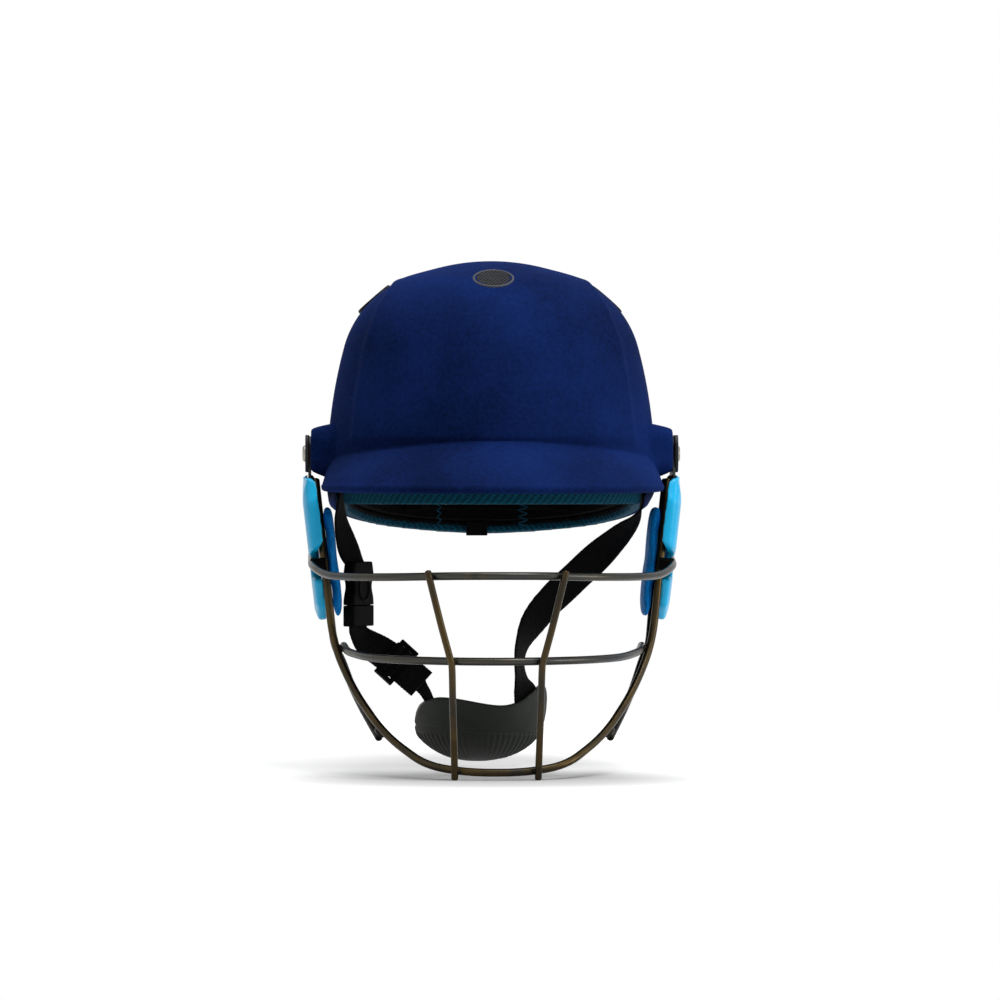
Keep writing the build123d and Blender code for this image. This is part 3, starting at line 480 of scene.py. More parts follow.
def panel_rise(x, y, z):
    """The raised front panel of the shell, whose edges show through the cloth."""
    edge = float(np.interp(z, RIDGE_Z, RIDGE_X))
    across = smooth_step((edge - abs(x)) / 4.0 + 0.5)
    lip = math.exp(-(((edge - abs(x)) / 2.2) ** 2)) * 0.8
    fade = smooth_step((z - 24) / 8) * smooth_step((138 - z) / 10) * smooth_step((-14 - y) / 12)
    return (1.6 * across + lip) * fade


def spaced(stops):
    """Values from stop to stop at the step each stretch states."""
    values = []
    for (start, step), (end, _) in zip(stops, stops[1:]):
        count = max(1, round((end - start) / step))
        values += [start + (end - start) * i / count for i in range(count)]
    return values + [stops[-1][0]]


def columns():
    """Stations round the dome: centre on its axis line and outward ray."""
    turns = [(FRONT_AXIS, turn) for turn in spaced([(-90.0, 1.6), (-20.0, 0.55), (0.0, 1.0)])]
    turns += [(y, 0.0) for y in spaced([(FRONT_AXIS + 0.9, 0.9), (4.0, 2.6), (REAR_AXIS, 2.6)])]
    turns += [(REAR_AXIS, turn) for turn in spaced([(2.0, 2.0), (90.0, 2.0)])]
    places = [(y, (math.cos(math.radians(t)), math.sin(math.radians(t)))) for y, t in turns]
    mirrored = [(y, (-ray[0], ray[1])) for y, ray in places[1:-1]]
    return places + mirrored[::-1]


stations = columns()
top_rows = [profile(turn) for turn in np.linspace(0.0, low_turn, 64)]
side_levels = [-level for level in spaced([(0.4 - low_level, 2.2), (-42.0, 1.0), (-9.0, 1.0)])]
VENT_HOLE = 10.4
VENT_AXES = {
    "vent_front": (128.0, (0.0, -1.0), FRONT_AXIS),
    "vent_left": (119.0, (-1.0, 0.0), 10.0),
    "vent_right": (119.0, (1.0, 0.0), 10.0),
    "vent_rear": (128.0, (0.0, 1.0), REAR_AXIS),
}


def vent_frame(name):
    """Origin in millimetres and a matrix whose z is the eyelet's axis."""
    level, way, centre_y = VENT_AXES[name]
    middle, radius = (shoulder, SHOULDER_R) if level < high_level else ((0.0, crown_z), CROWN_R)
    up = level - middle[1]
    out = math.sqrt(radius**2 - up**2)
    reach = middle[0] + out
    origin = Vector((way[0] * reach, centre_y + way[1] * reach, level))
    z_axis = Vector((way[0] * out, way[1] * out, up)).normalized()
    x_axis = Vector((0, 0, 1)).cross(z_axis).normalized()
    y_axis = z_axis.cross(x_axis)
    return origin, Matrix((x_axis, y_axis, z_axis)).transposed()


def pierced(name, rows):
    """A mesh through rows of points round the dome, open where the eyelets pass."""
    points = rows.reshape(-1, 3)
    holes = [vent_frame(vent) for vent in VENT_AXES]
    kept = []
    for face in grid_faces(rows.shape[0], rows.shape[1]):
        middle = Vector(points[list(face)].mean(axis=0))
        inside = False
        for origin, axes in holes:
            local = axes.transposed() @ (middle - origin)
            inside = inside or (math.hypot(local.x, local.y) < VENT_HOLE and abs(local.z) < 10)
        if not inside:
            kept.append(face)
    return mesh_from(name, points * MM, kept, merge=0.02 * MM)


FOLD_WALL, FOLD_DROP, HEM_RISE, CLOTH_WALL = 4.7, 1.5, 0.35, 0.9
HARD_OUTER, HARD_INNER = 1.5, 4.45
RIM_STEPS, FOLD_STEPS = 16, 8


def build_shell():
    """The cloth's outer face from the crown to the rim, round the rim and a little way back up."""
    rows = [[spot(y, ray, *place) for y, ray in stations] for place in top_rows]
    for level in side_levels:
        rows.append([spot(y, ray, shell_reach(y, ray, level), level) for y, ray in stations])
    start = side_levels[-1]
    for step in range(1, RIM_STEPS + 1):
        row = []
        for y, ray in stations:
            foot = 0.0
            for _ in range(6):
                reach = shell_reach(y, ray, max(foot, 0.0)) if foot > -0.01 else dome_reach(foot)
                foot = rim_z(y + ray[1] * reach)
            level = start + (foot - start) * step / RIM_STEPS
            reach = shell_reach(y, ray, level) if level >= 0 else dome_reach(level)
            if level < 0:
                reach = max(reach, shell_reach(y, ray, 0.0) * (1 if foot > -0.5 else 0))
            row.append(spot(y, ray, reach, level))
        rows.append(row)
    for row in rows:
        for point in row:
            if point.z < 60 and abs(point.x) > 60:
                reach = smooth_max(abs(point.x), boss_x(point.y, point.z), BOSS_BLEND)
                point.x = math.copysign(reach, point.x)
    grid = np.array([[tuple(p) for p in row] for row in rows])
    down = np.gradient(grid, axis=0)
    around = np.roll(grid, -1, axis=1) - np.roll(grid, 1, axis=1)
    normal = np.cross(around, down)
    size = np.linalg.norm(normal, axis=2, keepdims=True)
    normal = normal / np.maximum(size, 1e-9)
    centre = np.array((0, 10, 20))
    if np.sum(normal[80] * (grid[80] - centre)) < 0:
        normal = -normal
    for place in np.ndindex(grid.shape[:2]):
        grid[place] += normal[place] * panel_rise(*grid[place])
    tangent = down[-1] / np.linalg.norm(down[-1], axis=1, keepdims=True)
    last, out = grid[-1].copy(), normal[-1].copy()
    fold = []
    for turn in np.linspace(0.0, math.pi, FOLD_STEPS + 1)[1:]:
        inward = out * FOLD_WALL / 2 * (1 - math.cos(turn))
        fold.append(last - inward + tangent * FOLD_DROP * math.sin(turn))
    back = [grid[-1 - k] - normal[-1 - k] * FOLD_WALL for k in (1, 2, 3, 5)]
    grid[-4:-1] += normal[-4:-1] * HEM_RISE
    full = np.concatenate([grid, np.array(fold), np.array(back)])
    mesh = pierced("shell_cloth", full)
    hard_outer, hard_inner = grid - normal * HARD_OUTER, grid - normal * HARD_INNER
    hard = np.concatenate([hard_outer[:-1], hard_inner[:-1][::-1]])
    link("hard_shell", pierced("hard_shell", hard), "shell_plastic", "helmet", ("outer_shell",))
    cloth = link("shell_cloth", mesh, "navy_cloth", "helmet", ("cloth_cover",))
    modify(cloth, "SOLIDIFY", thickness=CLOTH_WALL * MM, offset=-1)


build_shell()

# Vent eyelets: a turned ring with its barrel, and a plate with hexagonal cells


def lathe(profile_points):
    """A closed ring turned about z from points of radius and height, in millimetres."""
    steps = circle(64)
    points = [(reach * c, reach * s, height) for c, s in steps for reach, height in profile_points]
    return points, ring_faces(len(steps), len(profile_points))


RING = [
    (13.0, -1.6), (13.0, 0.5), (12.85, 1.1), (12.5, 1.5), (12.0, 1.62), (11.6, 1.5),
    (11.4, 1.2), (11.3, 0.2), (10.0, -0.4), (9.0, -1.0), (8.8, -8.8), (10.0, -8.8), (10.0, -1.6),
]
CELL, PLATE_RADIUS, PLATE_LEVEL, PLATE_DOME, STRAND = 2.3, 11.0, 1.3, 0.002, 0.95


def hex_plate(radius):
    """Honeycomb lines inside a circle, as points and hexagon faces."""
    points, faces = [], []
    size = CELL / math.sqrt(3)
    for row in range(-7, 8):
        for column in range(-7, 8):
            cx = CELL * (column + (0.5 if row % 2 else 0.0))
            cy = row * CELL * math.sqrt(3) / 2
            if math.hypot(cx, cy) > radius:
                continue
            faces.append(range(len(points), len(points) + 6))
            for c, s in circle(6):
                x, y = cx - size * s, cy + size * c
                points.append((x, y, PLATE_LEVEL - PLATE_DOME * (x * x + y * y)))
    return points, faces


for vent_name in VENT_AXES:
    vent_origin, vent_axes = vent_frame(vent_name)
    on_side = vent_name in ("vent_left", "vent_right")
    vent_look = "vent_black" if on_side else "vent_plastic"
    sink = 0.2 if on_side else 0.3
    vent_origin -= vent_axes @ Vector((0, 0, sink))
    place = Matrix.Translation(vent_origin) @ vent_axes.to_4x4()

    def placed(points, faces):
        return [(place @ Vector(p)) * MM for p in points], faces

    piece(vent_name + "_ring", placed(*lathe(RING)), vent_look, "helmet", (vent_name,))
    cells = placed(*hex_plate(PLATE_RADIUS))
    plate = piece(vent_name + "_plate", cells, vent_look, "helmet", smooth=False, merge=0.01 * MM)
    modify(plate, "WIREFRAME", thickness=STRAND * MM, use_even_offset=False, use_boundary=True)

# Soft pieces shaped from their CAD solids


def remeshed(node_name, voxel, smooth_turns, shrink=0.0):
    """A copy of a CAD node's mesh in even faces, smoothed and optionally drawn in."""
    mesh = nodes[node_name].data.copy()
    obj = added(node_name + "_work", mesh)
    modify(obj, "REMESH", mode="VOXEL", voxel_size=voxel)
    modify(obj, "SMOOTH", iterations=smooth_turns, factor=0.5)
    if shrink:
        modify(obj, "DISPLACE", strength=-shrink, mid_level=0.0)
    made = bpy.data.meshes.new_from_object(evaluated(obj))
    bpy.data.objects.remove(obj)
    bpy.data.meshes.remove(mesh)
    for polygon in made.polygons:
        polygon.use_smooth = True
    return made


def evaluated(obj):
    return obj.evaluated_get(bpy.context.evaluated_depsgraph_get())


def vertex_array(mesh):
    flat = np.zeros(len(mesh.vertices) * 3)
    mesh.vertices.foreach_get("co", flat)
    return flat.reshape(-1, 3)


def set_vertices(mesh, points):
    mesh.vertices.foreach_set("co", points.astype(np.float32).ravel())
    mesh.update()


def swollen(mesh, pressure, cap):
    """Blows a padded piece up by cloth simulation and caps how far each point moves."""
    obj, scene = added("swelling", mesh), bpy.context.scene
    cloth = modify(obj, "CLOTH")
    cloth.settings.use_pressure = True
    cloth.settings.uniform_pressure_force = pressure
    cloth.settings.quality = 4
    cloth.settings.effector_weights.gravity = 0.0
    cloth.collision_settings.use_collision = False
    for number in range(1, 21):
        scene.frame_set(number)
    shaped = evaluated(obj)
    moved = vertex_array(shaped.to_mesh())
    shaped.to_mesh_clear()
    start = vertex_array(mesh)
    move = moved - start
    size = np.linalg.norm(move, axis=1, keepdims=True)
    move *= np.minimum(1.0, cap / np.maximum(size, 1e-9))
    bpy.data.objects.remove(obj)
    set_vertices(mesh, start + move)
    scene.frame_set(1)
    return mesh


PADS = {
    "helmet": ("front_pad", "rear_pad", "left_side_pad", "right_side_pad", "crown_pad"),
    "face_guard": ("left_ear_pad", "right_ear_pad"),
}
PAD_VOXEL, PAD_PRESSURE = 4.0, 4.0
for body, look, turns, shrink, cap, fill in (
    ("helmet", "pad_fabric", 3, 0.6, 1.4, 0.75),
    ("face_guard", "ear_foam", 2, 0.4, 0.8, 0.8),
):
    for pad_name in PADS[body]:
        plain = remeshed(pad_name, PAD_VOXEL * MM, turns, shrink * MM)
        pad_mesh = swollen(plain, PAD_PRESSURE, cap * MM)
        pad = link(pad_name + "_cushion", pad_mesh, look, body, (pad_name,))
        modify(pad, "SUBSURF", levels=1, render_levels=1)

TRIM_RADIUS = 90.0


def round_length(x, y):
    """Distance round the dome, in metres, of a place seen from above."""
    front, rear, radius = FRONT_AXIS * MM, REAR_AXIS * MM, TRIM_RADIUS * MM
    if y < front:
        return math.atan2(x, front - y) * radius
    past = min(y, rear) - front + math.atan2(max(y - rear, 0.0), abs(x)) * radius
    return (1 if x > 0 else -1) * (math.pi / 2 * radius + past)


def band_uv(mesh):
    """UV in metres: along the dome's edge and up plus inward."""
    layer = mesh.uv_layers.new(name="UVMap") if not mesh.uv_layers else mesh.uv_layers[0]
    points = vertex_array(mesh)
    ys = points[:, 1]
    beyond = np.maximum(ys - REAR_AXIS * MM, 0) + np.minimum(ys - FRONT_AXIS * MM, 0)
    reach = np.hypot(points[:, 0], beyond)
    values = [(round_length(p[0], p[1]), p[2] + r) for p, r in zip(points, reach)]
    flat = np.zeros(len(mesh.loops) * 2, np.float32)
    for loop in mesh.loops:
        flat[2 * loop.index : 2 * loop.index + 2] = values[loop.vertex_index]
    layer.data.foreach_set("uv", flat)


def mark_piping(mesh):
    """1 on the rear trim's lower binding, 0 on the black cloth above it."""
    layer = mesh.attributes.new("piping", "FLOAT", "POINT")
    values = []
    for x, y, z in vertex_array(mesh) / MM:
        above = z - rim_z(y) + 3.0
        tall = 3.4 + 7.0 * smooth_step((50 - y) / 55)
        values.append(smooth_step((tall - above) / 0.8 + 0.5))
    layer.data.foreach_set("value", values)


for trim_name, look in (("front_trim", "teal_mesh"), ("rear_trim", "teal_piping")):
    trim_mesh = remeshed(trim_name, 1.2 * MM, 6)
    band_uv(trim_mesh)
    if look == "teal_piping":
        mark_piping(trim_mesh)
    link(trim_name + "_band", trim_mesh, look, "helmet", (trim_name,))

tab = remeshed("rear_tab", 0.5 * MM, 3)
link("rear_tab_tape", tab, "webbing", "helmet", ("rear_tab",))

lining = remeshed("cup_lining", 0.8 * MM, 4)
link("cup_lining_pad", lining, "lining_foam", "chin_strap", ("cup_lining",))

# Chin cup: soft edges, a groove and a ribbed lower band

CUP_X, CUP_AXIS_Y, CUP_RADIUS, CUP_FOOT = -6.6, 4.0, 46.0, -170.5
CUP_SLOPE = 0.06
GROOVE_Z, GROOVE_DEPTH, RIB_DEPTH, RIB_PITCH = -151.4, 0.9, 0.35, 4.2
cup_mesh = remeshed("chin_cup", 0.9 * MM, 8)
cup_points = vertex_array(cup_mesh)
for index, (x, y, z) in enumerate(cup_points / MM):
    reach = math.hypot(x - CUP_X, y - CUP_AXIS_Y)
    turn = math.atan2(x - CUP_X, CUP_AXIS_Y - y)
    level = z + CUP_SLOPE * (x - CUP_X)
    depth = 0.0
    facing = cup_mesh.vertices[index].normal
    ray = Vector((math.sin(turn), -math.cos(turn), 0))
    if facing.dot(ray) > 0.1 or (facing.z < -0.3 and reach > 14):
        ribbed = smooth_step((GROOVE_Z - 1.6 - z) / 1.2) * smooth_step((z - CUP_FOOT) / 2)
        depth = RIB_DEPTH * math.cos(turn * CUP_RADIUS * 2 * math.pi / RIB_PITCH) * ribbed
        if reach > 14:
            depth -= GROOVE_DEPTH * math.exp(-((level - GROOVE_Z) ** 2))
    cup_points[index] += np.array(facing) * depth * MM
set_vertices(cup_mesh, cup_points)
link("chin_cup_moulding", cup_mesh, "cup_rubber", "chin_strap", ("chin_cup",))

# Webbing bands along smooth routes


def catmull(values, per_run):
    """Points on a smooth line through the values, with per_run points to each run."""
    values = [np.array(v, float) for v in values]
    padded = [2 * values[0] - values[1]] + values + [2 * values[-1] - values[-2]]
    made = []
    for i in range(1, len(padded) - 2):
        before, a, b, after = padded[i - 1 : i + 3]
        for step in range(per_run):
            t = step / per_run
            bend, twist = 2 * before - 5 * a + 4 * b - after, 3 * a - before - 3 * b + after
            made.append(0.5 * (2 * a + (b - before) * t + bend * t**2 + twist * t**3))
    made.append(values[-1])
    return np.array(made)


WEB, WEB_WALL, THIN_END = 20.0, 1.6, 9.0


def band(name, points, turns, body, standing_for, widths=()):
    """A woven tape along a smooth route, with rounded edges and a scalloped selvedge."""
    route, ways = catmull(points, 10), catmull(turns, 10)
    spans = catmull([(w,) for w in widths or [WEB] * len(points)], 10)[:, 0]
    along_route = np.gradient(route, axis=0)
    along_route /= np.linalg.norm(along_route, axis=1, keepdims=True)
    across_count = 14
    section = []
    for i in range(across_count + 1):
        u = -1 + 2 * i / across_count
        section.append((u, 1 - 0.55 * max(0.0, (abs(u) - 0.86) / 0.14) ** 2))
    loop = section + [(u, -v) for u, v in reversed(section)]
    made, uvs = [], []
    run = 0.0
    for i, centre in enumerate(route):
        if i:
            run += float(np.linalg.norm(route[i] - route[i - 1]))
        way = ways[i] - along_route[i] * ways[i].dot(along_route[i])
        way /= np.linalg.norm(way)
        out = np.cross(along_route[i], way)
        half = spans[i] / 2 + 0.12 * math.sin(2 * math.pi * run / 2.2)
        for u, v in loop:
            made.append((centre + way * u * half + out * v * WEB_WALL / 2) * MM)
            uvs.append((u * half * MM, run * MM))
    mesh = mesh_from(name, made, bar_faces(len(route), len(loop)))
    layer = mesh.uv_layers.new(name="UVMap")
    for item in mesh.loops:
        layer.data[item.index].uv = uvs[item.vertex_index]
    for polygon in mesh.polygons:
        polygon.use_smooth = len(polygon.vertices) == 4
    return link(name, mesh, "webbing", body, standing_for)


HALF_WIDTH = 110.0
ANCHOR_Y, STRAP_X = -25.0, 93.9


def hung(*places):
    """Places in the plane across the helmet through the strap's rivets."""
    return [(x, ANCHOR_Y, z) for x, z in places]


BUCKLE_X, BUCKLE_CAD_X, BUCKLE_TOP, PLUG_END = -83.0, -81.0, -46.0, -86.3
BUCKLE_WAY = (0.5, 0.87, 0.0)
band(
    "left_upper_webbing",
    hung(
        (-STRAP_X, 13.0), (-STRAP_X, 0.0), (-94.2, -10.0), (-94.0, -20.0), (-91.4, -31.0),
        (-88.2, -41.0), (BUCKLE_X, -50.7),
    ),
    [
        (0, 1, 0), (0.05, 1, 0), (0.2, 0.98, 0), (0.38, 0.92, 0.0), (0.58, 0.81, 0),
        (0.66, 0.75, 0), (0.5, 0.87, 0),
    ],
    "chin_strap",
    ("left_strap_upper",),
)
band(
    "right_webbing",
    hung(
        (STRAP_X, 13.0), (STRAP_X, 1.0), (STRAP_X, -11.0), (90.0, -20.0), (81.0, -29.0),
        (64.9, -44.0), (49.9, -58.0), (35.5, -72.0), (26.2, -84.0), (19.3, -98.0), (17.5, -109.0),
        (18.5, -118.5),
    ) + [(21.0, -26.2, -126.0), (22.0, -27.0, -138.0)],
    [
        (0, 1, 0), (0, 1, 0), (0, 1, 0), (0.25, 0.93, -0.25), (0.45, 0.7, -0.5),
        (0.66, 0.35, -0.66), (0.68, 0.3, -0.67), (0.66, 0.4, -0.64), (0.66, 0.58, -0.47),
        (0.45, 0.88, -0.1), (0.32, 0.95, 0), (0.4, 0.92, 0), (0.7, 0.71, 0), (0.75, 0.66, 0),
    ],
    "chin_strap",
    ("right_strap",),
)
lower_webbing = band(
    "left_lower_webbing",
    hung(
        (BUCKLE_X, PLUG_END + 4.7), (BUCKLE_X, PLUG_END - 3.0), (-77.5, -96.5), (-68.5, -102.5),
        (-59.5, -109.0), (-50.0, -117.0),
    ) + [(-43.5, -24.0, -124.5), (-39.5, -21.5, -131.0), (-37.5, -20.5, -137.0)],
    [
        (0.5, 0.87, 0), (0.55, 0.83, 0.1), (0.6, 0.55, 0.55), (0.64, 0.3, 0.7), (0.66, 0.2, 0.72),
        (0.66, 0.2, 0.72), (0.66, 0.5, 0.5), (0.6, 0.8, 0.2), (0.6, 0.8, 0),
    ],
    "chin_strap",
    ("left_strap_lower",),
    [WEB] * 5 + [16.0] + [THIN_END] * 3,
)
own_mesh(lower_webbing)
RUN_WAY = np.array((11.5, 0, -10.5)) / math.hypot(11.5, 10.5)
TURN = np.array((0.66, 0.2, 0.72))
TURN = TURN - RUN_WAY * TURN.dot(RUN_WAY)
TURN /= np.linalg.norm(TURN)
OFF = np.cross(RUN_WAY, TURN)
OFF = OFF if OFF[1] < 0 else -OFF
RUN_MIDDLE = np.array((-59.5, ANCHOR_Y, -109.0))
band(
    "strap_tail_webbing",
    [
        RUN_MIDDLE + RUN_WAY * t * 13.0 + OFF * n * 2.2
        for t, n in ((-0.6, 1.0), (0.1, 1.0), (0.7, 1.0), (1.15, 1.3), (1.6, 1.9))
    ],
    [TURN] * 5,
    "slider_body",
    ("strap_tail",),
)


def bar_block(start, end, across, half_wide, half_thick):
    """A rounded bar between two places, its section's width along the direction across."""
    corner = 0.8
    start, end = np.array(start, float), np.array(end, float)
    way = (end - start) / np.linalg.norm(end - start)
    across = np.array(across, float) - way * way.dot(across)
    across /= np.linalg.norm(across)
    out = np.cross(way, across)
    ring = []
    for quarter, (sx, sy) in enumerate(((1, 1), (-1, 1), (-1, -1), (1, -1))):
        for step in range(4):
            turn = math.pi / 2 * (quarter + step / 3)
            wide = sx * (half_wide - corner) + corner * math.cos(turn)
            thick = sy * (half_thick - corner) + corner * math.sin(turn)
            ring.append((wide, thick))
    points = []
    for place, grow in ((start, 0.75), (start + way * 0.5, 1.0), (end - way * 0.5, 1.0), (end, 0.75)):
        points += [(place + across * a * grow + out * b * grow) * MM for a, b in ring]
    return points, bar_faces(4, len(ring))


def joined(parts):
    """One list of points and one of faces from several of each."""
    points, faces = [], []
    for some_points, some_faces in parts:
        base = len(points)
        points += some_points
        faces += [tuple(base + i for i in face) for face in some_faces]
    return points, faces


slider_parts = []
for place in (-5.4, 0.0, 5.4):
    middle = RUN_MIDDLE + RUN_WAY * place + OFF * (1.0 if place else 0.2)
    thick = 2.6 if place else 3.4
    slider_parts.append(bar_block(middle - TURN * 12.0, middle + TURN * 12.0, RUN_WAY, 1.5, thick))
for side in (-1, 1):
    middle = RUN_MIDDLE + TURN * side * 11.9 + OFF * 0.6
    slider_parts.append(bar_block(middle - RUN_WAY * 6.9, middle + RUN_WAY * 6.9, TURN, 1.5, 2.8))
ladder = joined(slider_parts)
piece("slider_ladder", ladder, "buckle_plastic", "slider_body", ("slider",), smooth=False)

# Buckle: the CAD solids with soft edges and a waist, set where the photographed one hangs

for node_name, body in (("buckle_socket", "chin_strap"), ("buckle_plug", "buckle_plug_body")):
    buckle_mesh = remeshed(node_name, 0.45 * MM, 4)
    buckle_points = vertex_array(buckle_mesh) / MM
    across = np.array(BUCKLE_WAY) / math.hypot(*BUCKLE_WAY)
    reach = (buckle_points - np.array((BUCKLE_CAD_X, ANCHOR_Y, 0.0))) @ across
    height = buckle_points[:, 2]
    waist, neck = np.exp(-(((height + 61.5) / 5.5) ** 2)), np.clip((height + 53) / 7, 0, 1)
    buckle_points -= across * (reach * (0.2 * waist + 0.16 * neck))[:, None]
    buckle_points[:, 0] += BUCKLE_X - BUCKLE_CAD_X
    set_vertices(buckle_mesh, buckle_points * MM)
    link(node_name + "_moulding", buckle_mesh, "buckle_plastic", body, (node_name,))

# Moulded and pressed pieces that keep their CAD solids, with softened edges

for node_name, width in (
    ("bar_clips", 0.4), ("left_bracket", 0.25), ("right_bracket", 0.25),
    ("grille_washers", 0.25), ("impact_liner", 0.8),
):
    modify(
        nodes[node_name], "BEVEL", width=width * MM, segments=2, limit_method="ANGLE",
        angle_limit=math.radians(32), harden_normals=True,
    )

# Pressed rims of the brackets, round the washers

RIM_LONG, RIM_HIGH, RIM_CUT, RIM_HOLE, RIM_Z = 17.5, 11.6, 2.4, 8.4, 21.4
RIM_FOOT, RIM_FACE, RIM_EDGE = 1.3, 3.6, 0.5


def rim_reach(way):
    """Half an oblong with cut corners, along a way from its middle."""
    straight = min(RIM_LONG / max(abs(way[0]), 1e-6), RIM_HIGH / max(abs(way[1]), 1e-6))
    return min(straight, math.hypot(RIM_LONG, RIM_HIGH) - RIM_CUT)


for side, word in SIDES:
    rim_points, ways = [], circle(72)
    for wall, inner in ((RIM_FOOT, 0), (RIM_FOOT, 1), (RIM_FACE, 1), (RIM_FACE, 0)):
        x = side * (BOSS_FACE + wall)
        for way in ways:
            reach = RIM_HOLE if inner else rim_reach(way)
            y, z = PIVOT_Y + way[0] * reach, RIM_Z + way[1] * reach
            rim_points.append((x * MM, y * MM, z * MM))
    rim_form = rim_points, ring_faces(4, len(ways))
    rim = piece(word + "_bracket_rim", rim_form, "bracket_black", "face_guard", smooth=False)
    modify(rim, "BEVEL", width=RIM_EDGE * MM, segments=2)

# Ear guards: the CAD lobes with rounded shoulders, a front edge that curls inwards, a top that
# rises over the tab and a shorter lower lobe

LEAN = math.radians(6.4)
SIDE_TOP, EAR_TOP, EAR_CENTRE_Y, EAR_LONG, EAR_HIGH = 6.0, -4.0, -27.0, 60.0, 87.0
EAR_OUTLINE = (
    (-0.4, 0.0), (0.34, 0.0), (0.5, 0.14), (0.46, 0.44), (0.42, 0.6), (0.36, 0.84), (0.16, 1.0),
    (-0.16, 1.0), (-0.38, 0.86), (-0.44, 0.6), (-0.5, 0.38), (-0.5, 0.12),
)
EAR_STRETCH = ((-4.0, -2.6), (9.5, -1.4), (17.0, 9.5), (45.0, 45.0), (62.0, 62.0), (97.0, 88.0))
EDGE_ROUND, BRACKET_CLEAR = 11.0, 4.7


def outline_distance(us, vs):
    """Distance of each place from the ear guard's outline, in millimetres."""
    start = (SIDE_TOP - EAR_TOP) / math.cos(LEAN)
    corners = np.array([(u * EAR_LONG, start + v * EAR_HIGH) for u, v in EAR_OUTLINE])
    best = np.full(len(us), np.inf)
    for a, b in zip(corners, np.roll(corners, -1, axis=0)):
        run = b - a
        share = np.clip(((us - a[0]) * run[0] + (vs - a[1]) * run[1]) / run.dot(run), 0, 1)
        best = np.minimum(best, np.hypot(us - a[0] - share * run[0], vs - a[1] - share * run[1]))
    return best


for side, word in SIDES:
    guard_mesh = remeshed(word + "_ear_guard", 0.8 * MM, 24)
    guard_points = vertex_array(guard_mesh) / MM
    normal = np.array((side * math.cos(LEAN), 0.0, -math.sin(LEAN)))
    down = np.array((-side * math.sin(LEAN), 0.0, -math.cos(LEAN)))
    offset = guard_points - np.array((side * HALF_WIDTH, EAR_CENTRE_Y, SIDE_TOP))
    us, vs, ws = offset[:, 1], offset @ down, offset @ normal
    near_edge = 1 - np.clip(outline_distance(us, vs) / EDGE_ROUND, 0, 1)
    round_off = 1 - np.sqrt(np.clip(1 - near_edge**2, 0, 1))
    top_lobe = np.clip((48 - vs) / 8, 0, 1)
    front = np.clip((-us - 4) / 14, 0, 1)
    curl = 1.6 + 3.6 * top_lobe * front
    below_tab = np.clip((vs - 9.5) / 2.5, 0, 1)
    bulge = 1.1 * (1 - near_edge) * below_tab * (ws > 3.9)
    move = bulge - curl * round_off * below_tab
    stretched = np.interp(vs, *zip(*EAR_STRETCH))
    by_bracket = (stretched < 7.5) & (us > -16)
    moved = np.where(by_bracket, np.maximum(ws + move, BRACKET_CLEAR), ws + move)
    guard_points += normal * (moved - ws)[:, None] + down * (stretched - vs)[:, None]
    set_vertices(guard_mesh, guard_points * MM)
    link(word + "_ear_moulding", guard_mesh, "ear_plastic", "face_guard", (word + "_ear_guard",))

# Uprights, straight from the top bar to the middle bar and then down to the bottom wire

UPRIGHT_RADIUS = 2.1


def tube(route, radius):
    """A round wire along a smooth route, with domed ends."""
    spokes = circle(18)
    ways = np.gradient(route, axis=0)
    ways /= np.linalg.norm(ways, axis=1, keepdims=True)
    across = np.cross(ways[0], (0.0, 1.0, 0.0))
    rings = []
    for place, way in zip(route, ways):
        across = across - way * way.dot(across)
        across /= np.linalg.norm(across)
        rings.append((place, across, np.cross(way, across), radius))
    domes = []
    for (place, a, b, _), way in ((rings[0], -ways[0]), (rings[-1], ways[-1])):
        dome = []
        for turn in map(math.radians, (25, 50, 75)):
            top = place + way * radius * 0.6 * math.sin(turn)
            dome.append((top, a, b, radius * math.cos(turn)))
        domes.append(dome)
    rings = domes[0][::-1] + rings + domes[1]
    points = [(place + (a * c + b * s) * size) * MM for place, a, b, size in rings for c, s in spokes]
    return points, bar_faces(len(rings), len(spokes))


UPRIGHT = (
    (41.2, -159.4, -50.3), (37.2, -160.4, -66.6), (32.8, -161.2, -84.0), (28.2, -161.9, -101.0),
    (26.9, -161.2, -107.0), (26.4, -158.9, -128.0), (25.7, -154.6, -150.0), (25.0, -149.3, -174.0),
)
for side, word in SIDES:
    wire = tube(catmull([(side * x, y, z) for x, y, z in UPRIGHT], 8), UPRIGHT_RADIUS)
    piece(word + "_upright_wire", wire, "upright_steel", "face_guard", (word + "_upright",))

# Weld beads where the wires of the face guard meet


def beads(places):
    """Small lumpy beads, each given by its centre, its half sizes and its long axis."""
    parts, rings, sides = [], 7, 12
    for number, (centre, long_half, wide_half, way) in enumerate(places):
        turn = Vector(way).to_track_quat("Z", "Y").to_matrix()
        points = []
        for ring in range(rings + 1):
            tilt = math.pi * ring / rings
            for side, (c, s) in enumerate(circle(sides)):
                lump = 1 + 0.09 * math.sin(3.1 * side + 2.3 * ring + number * 1.7)
                reach = wide_half * math.sin(tilt) * lump
                local = Vector((reach * c, reach * s, long_half * math.cos(tilt)))
                points.append((Vector(centre) + turn @ local) * MM)
        parts.append((points, grid_faces(rings + 1, sides)))
    return joined(parts)


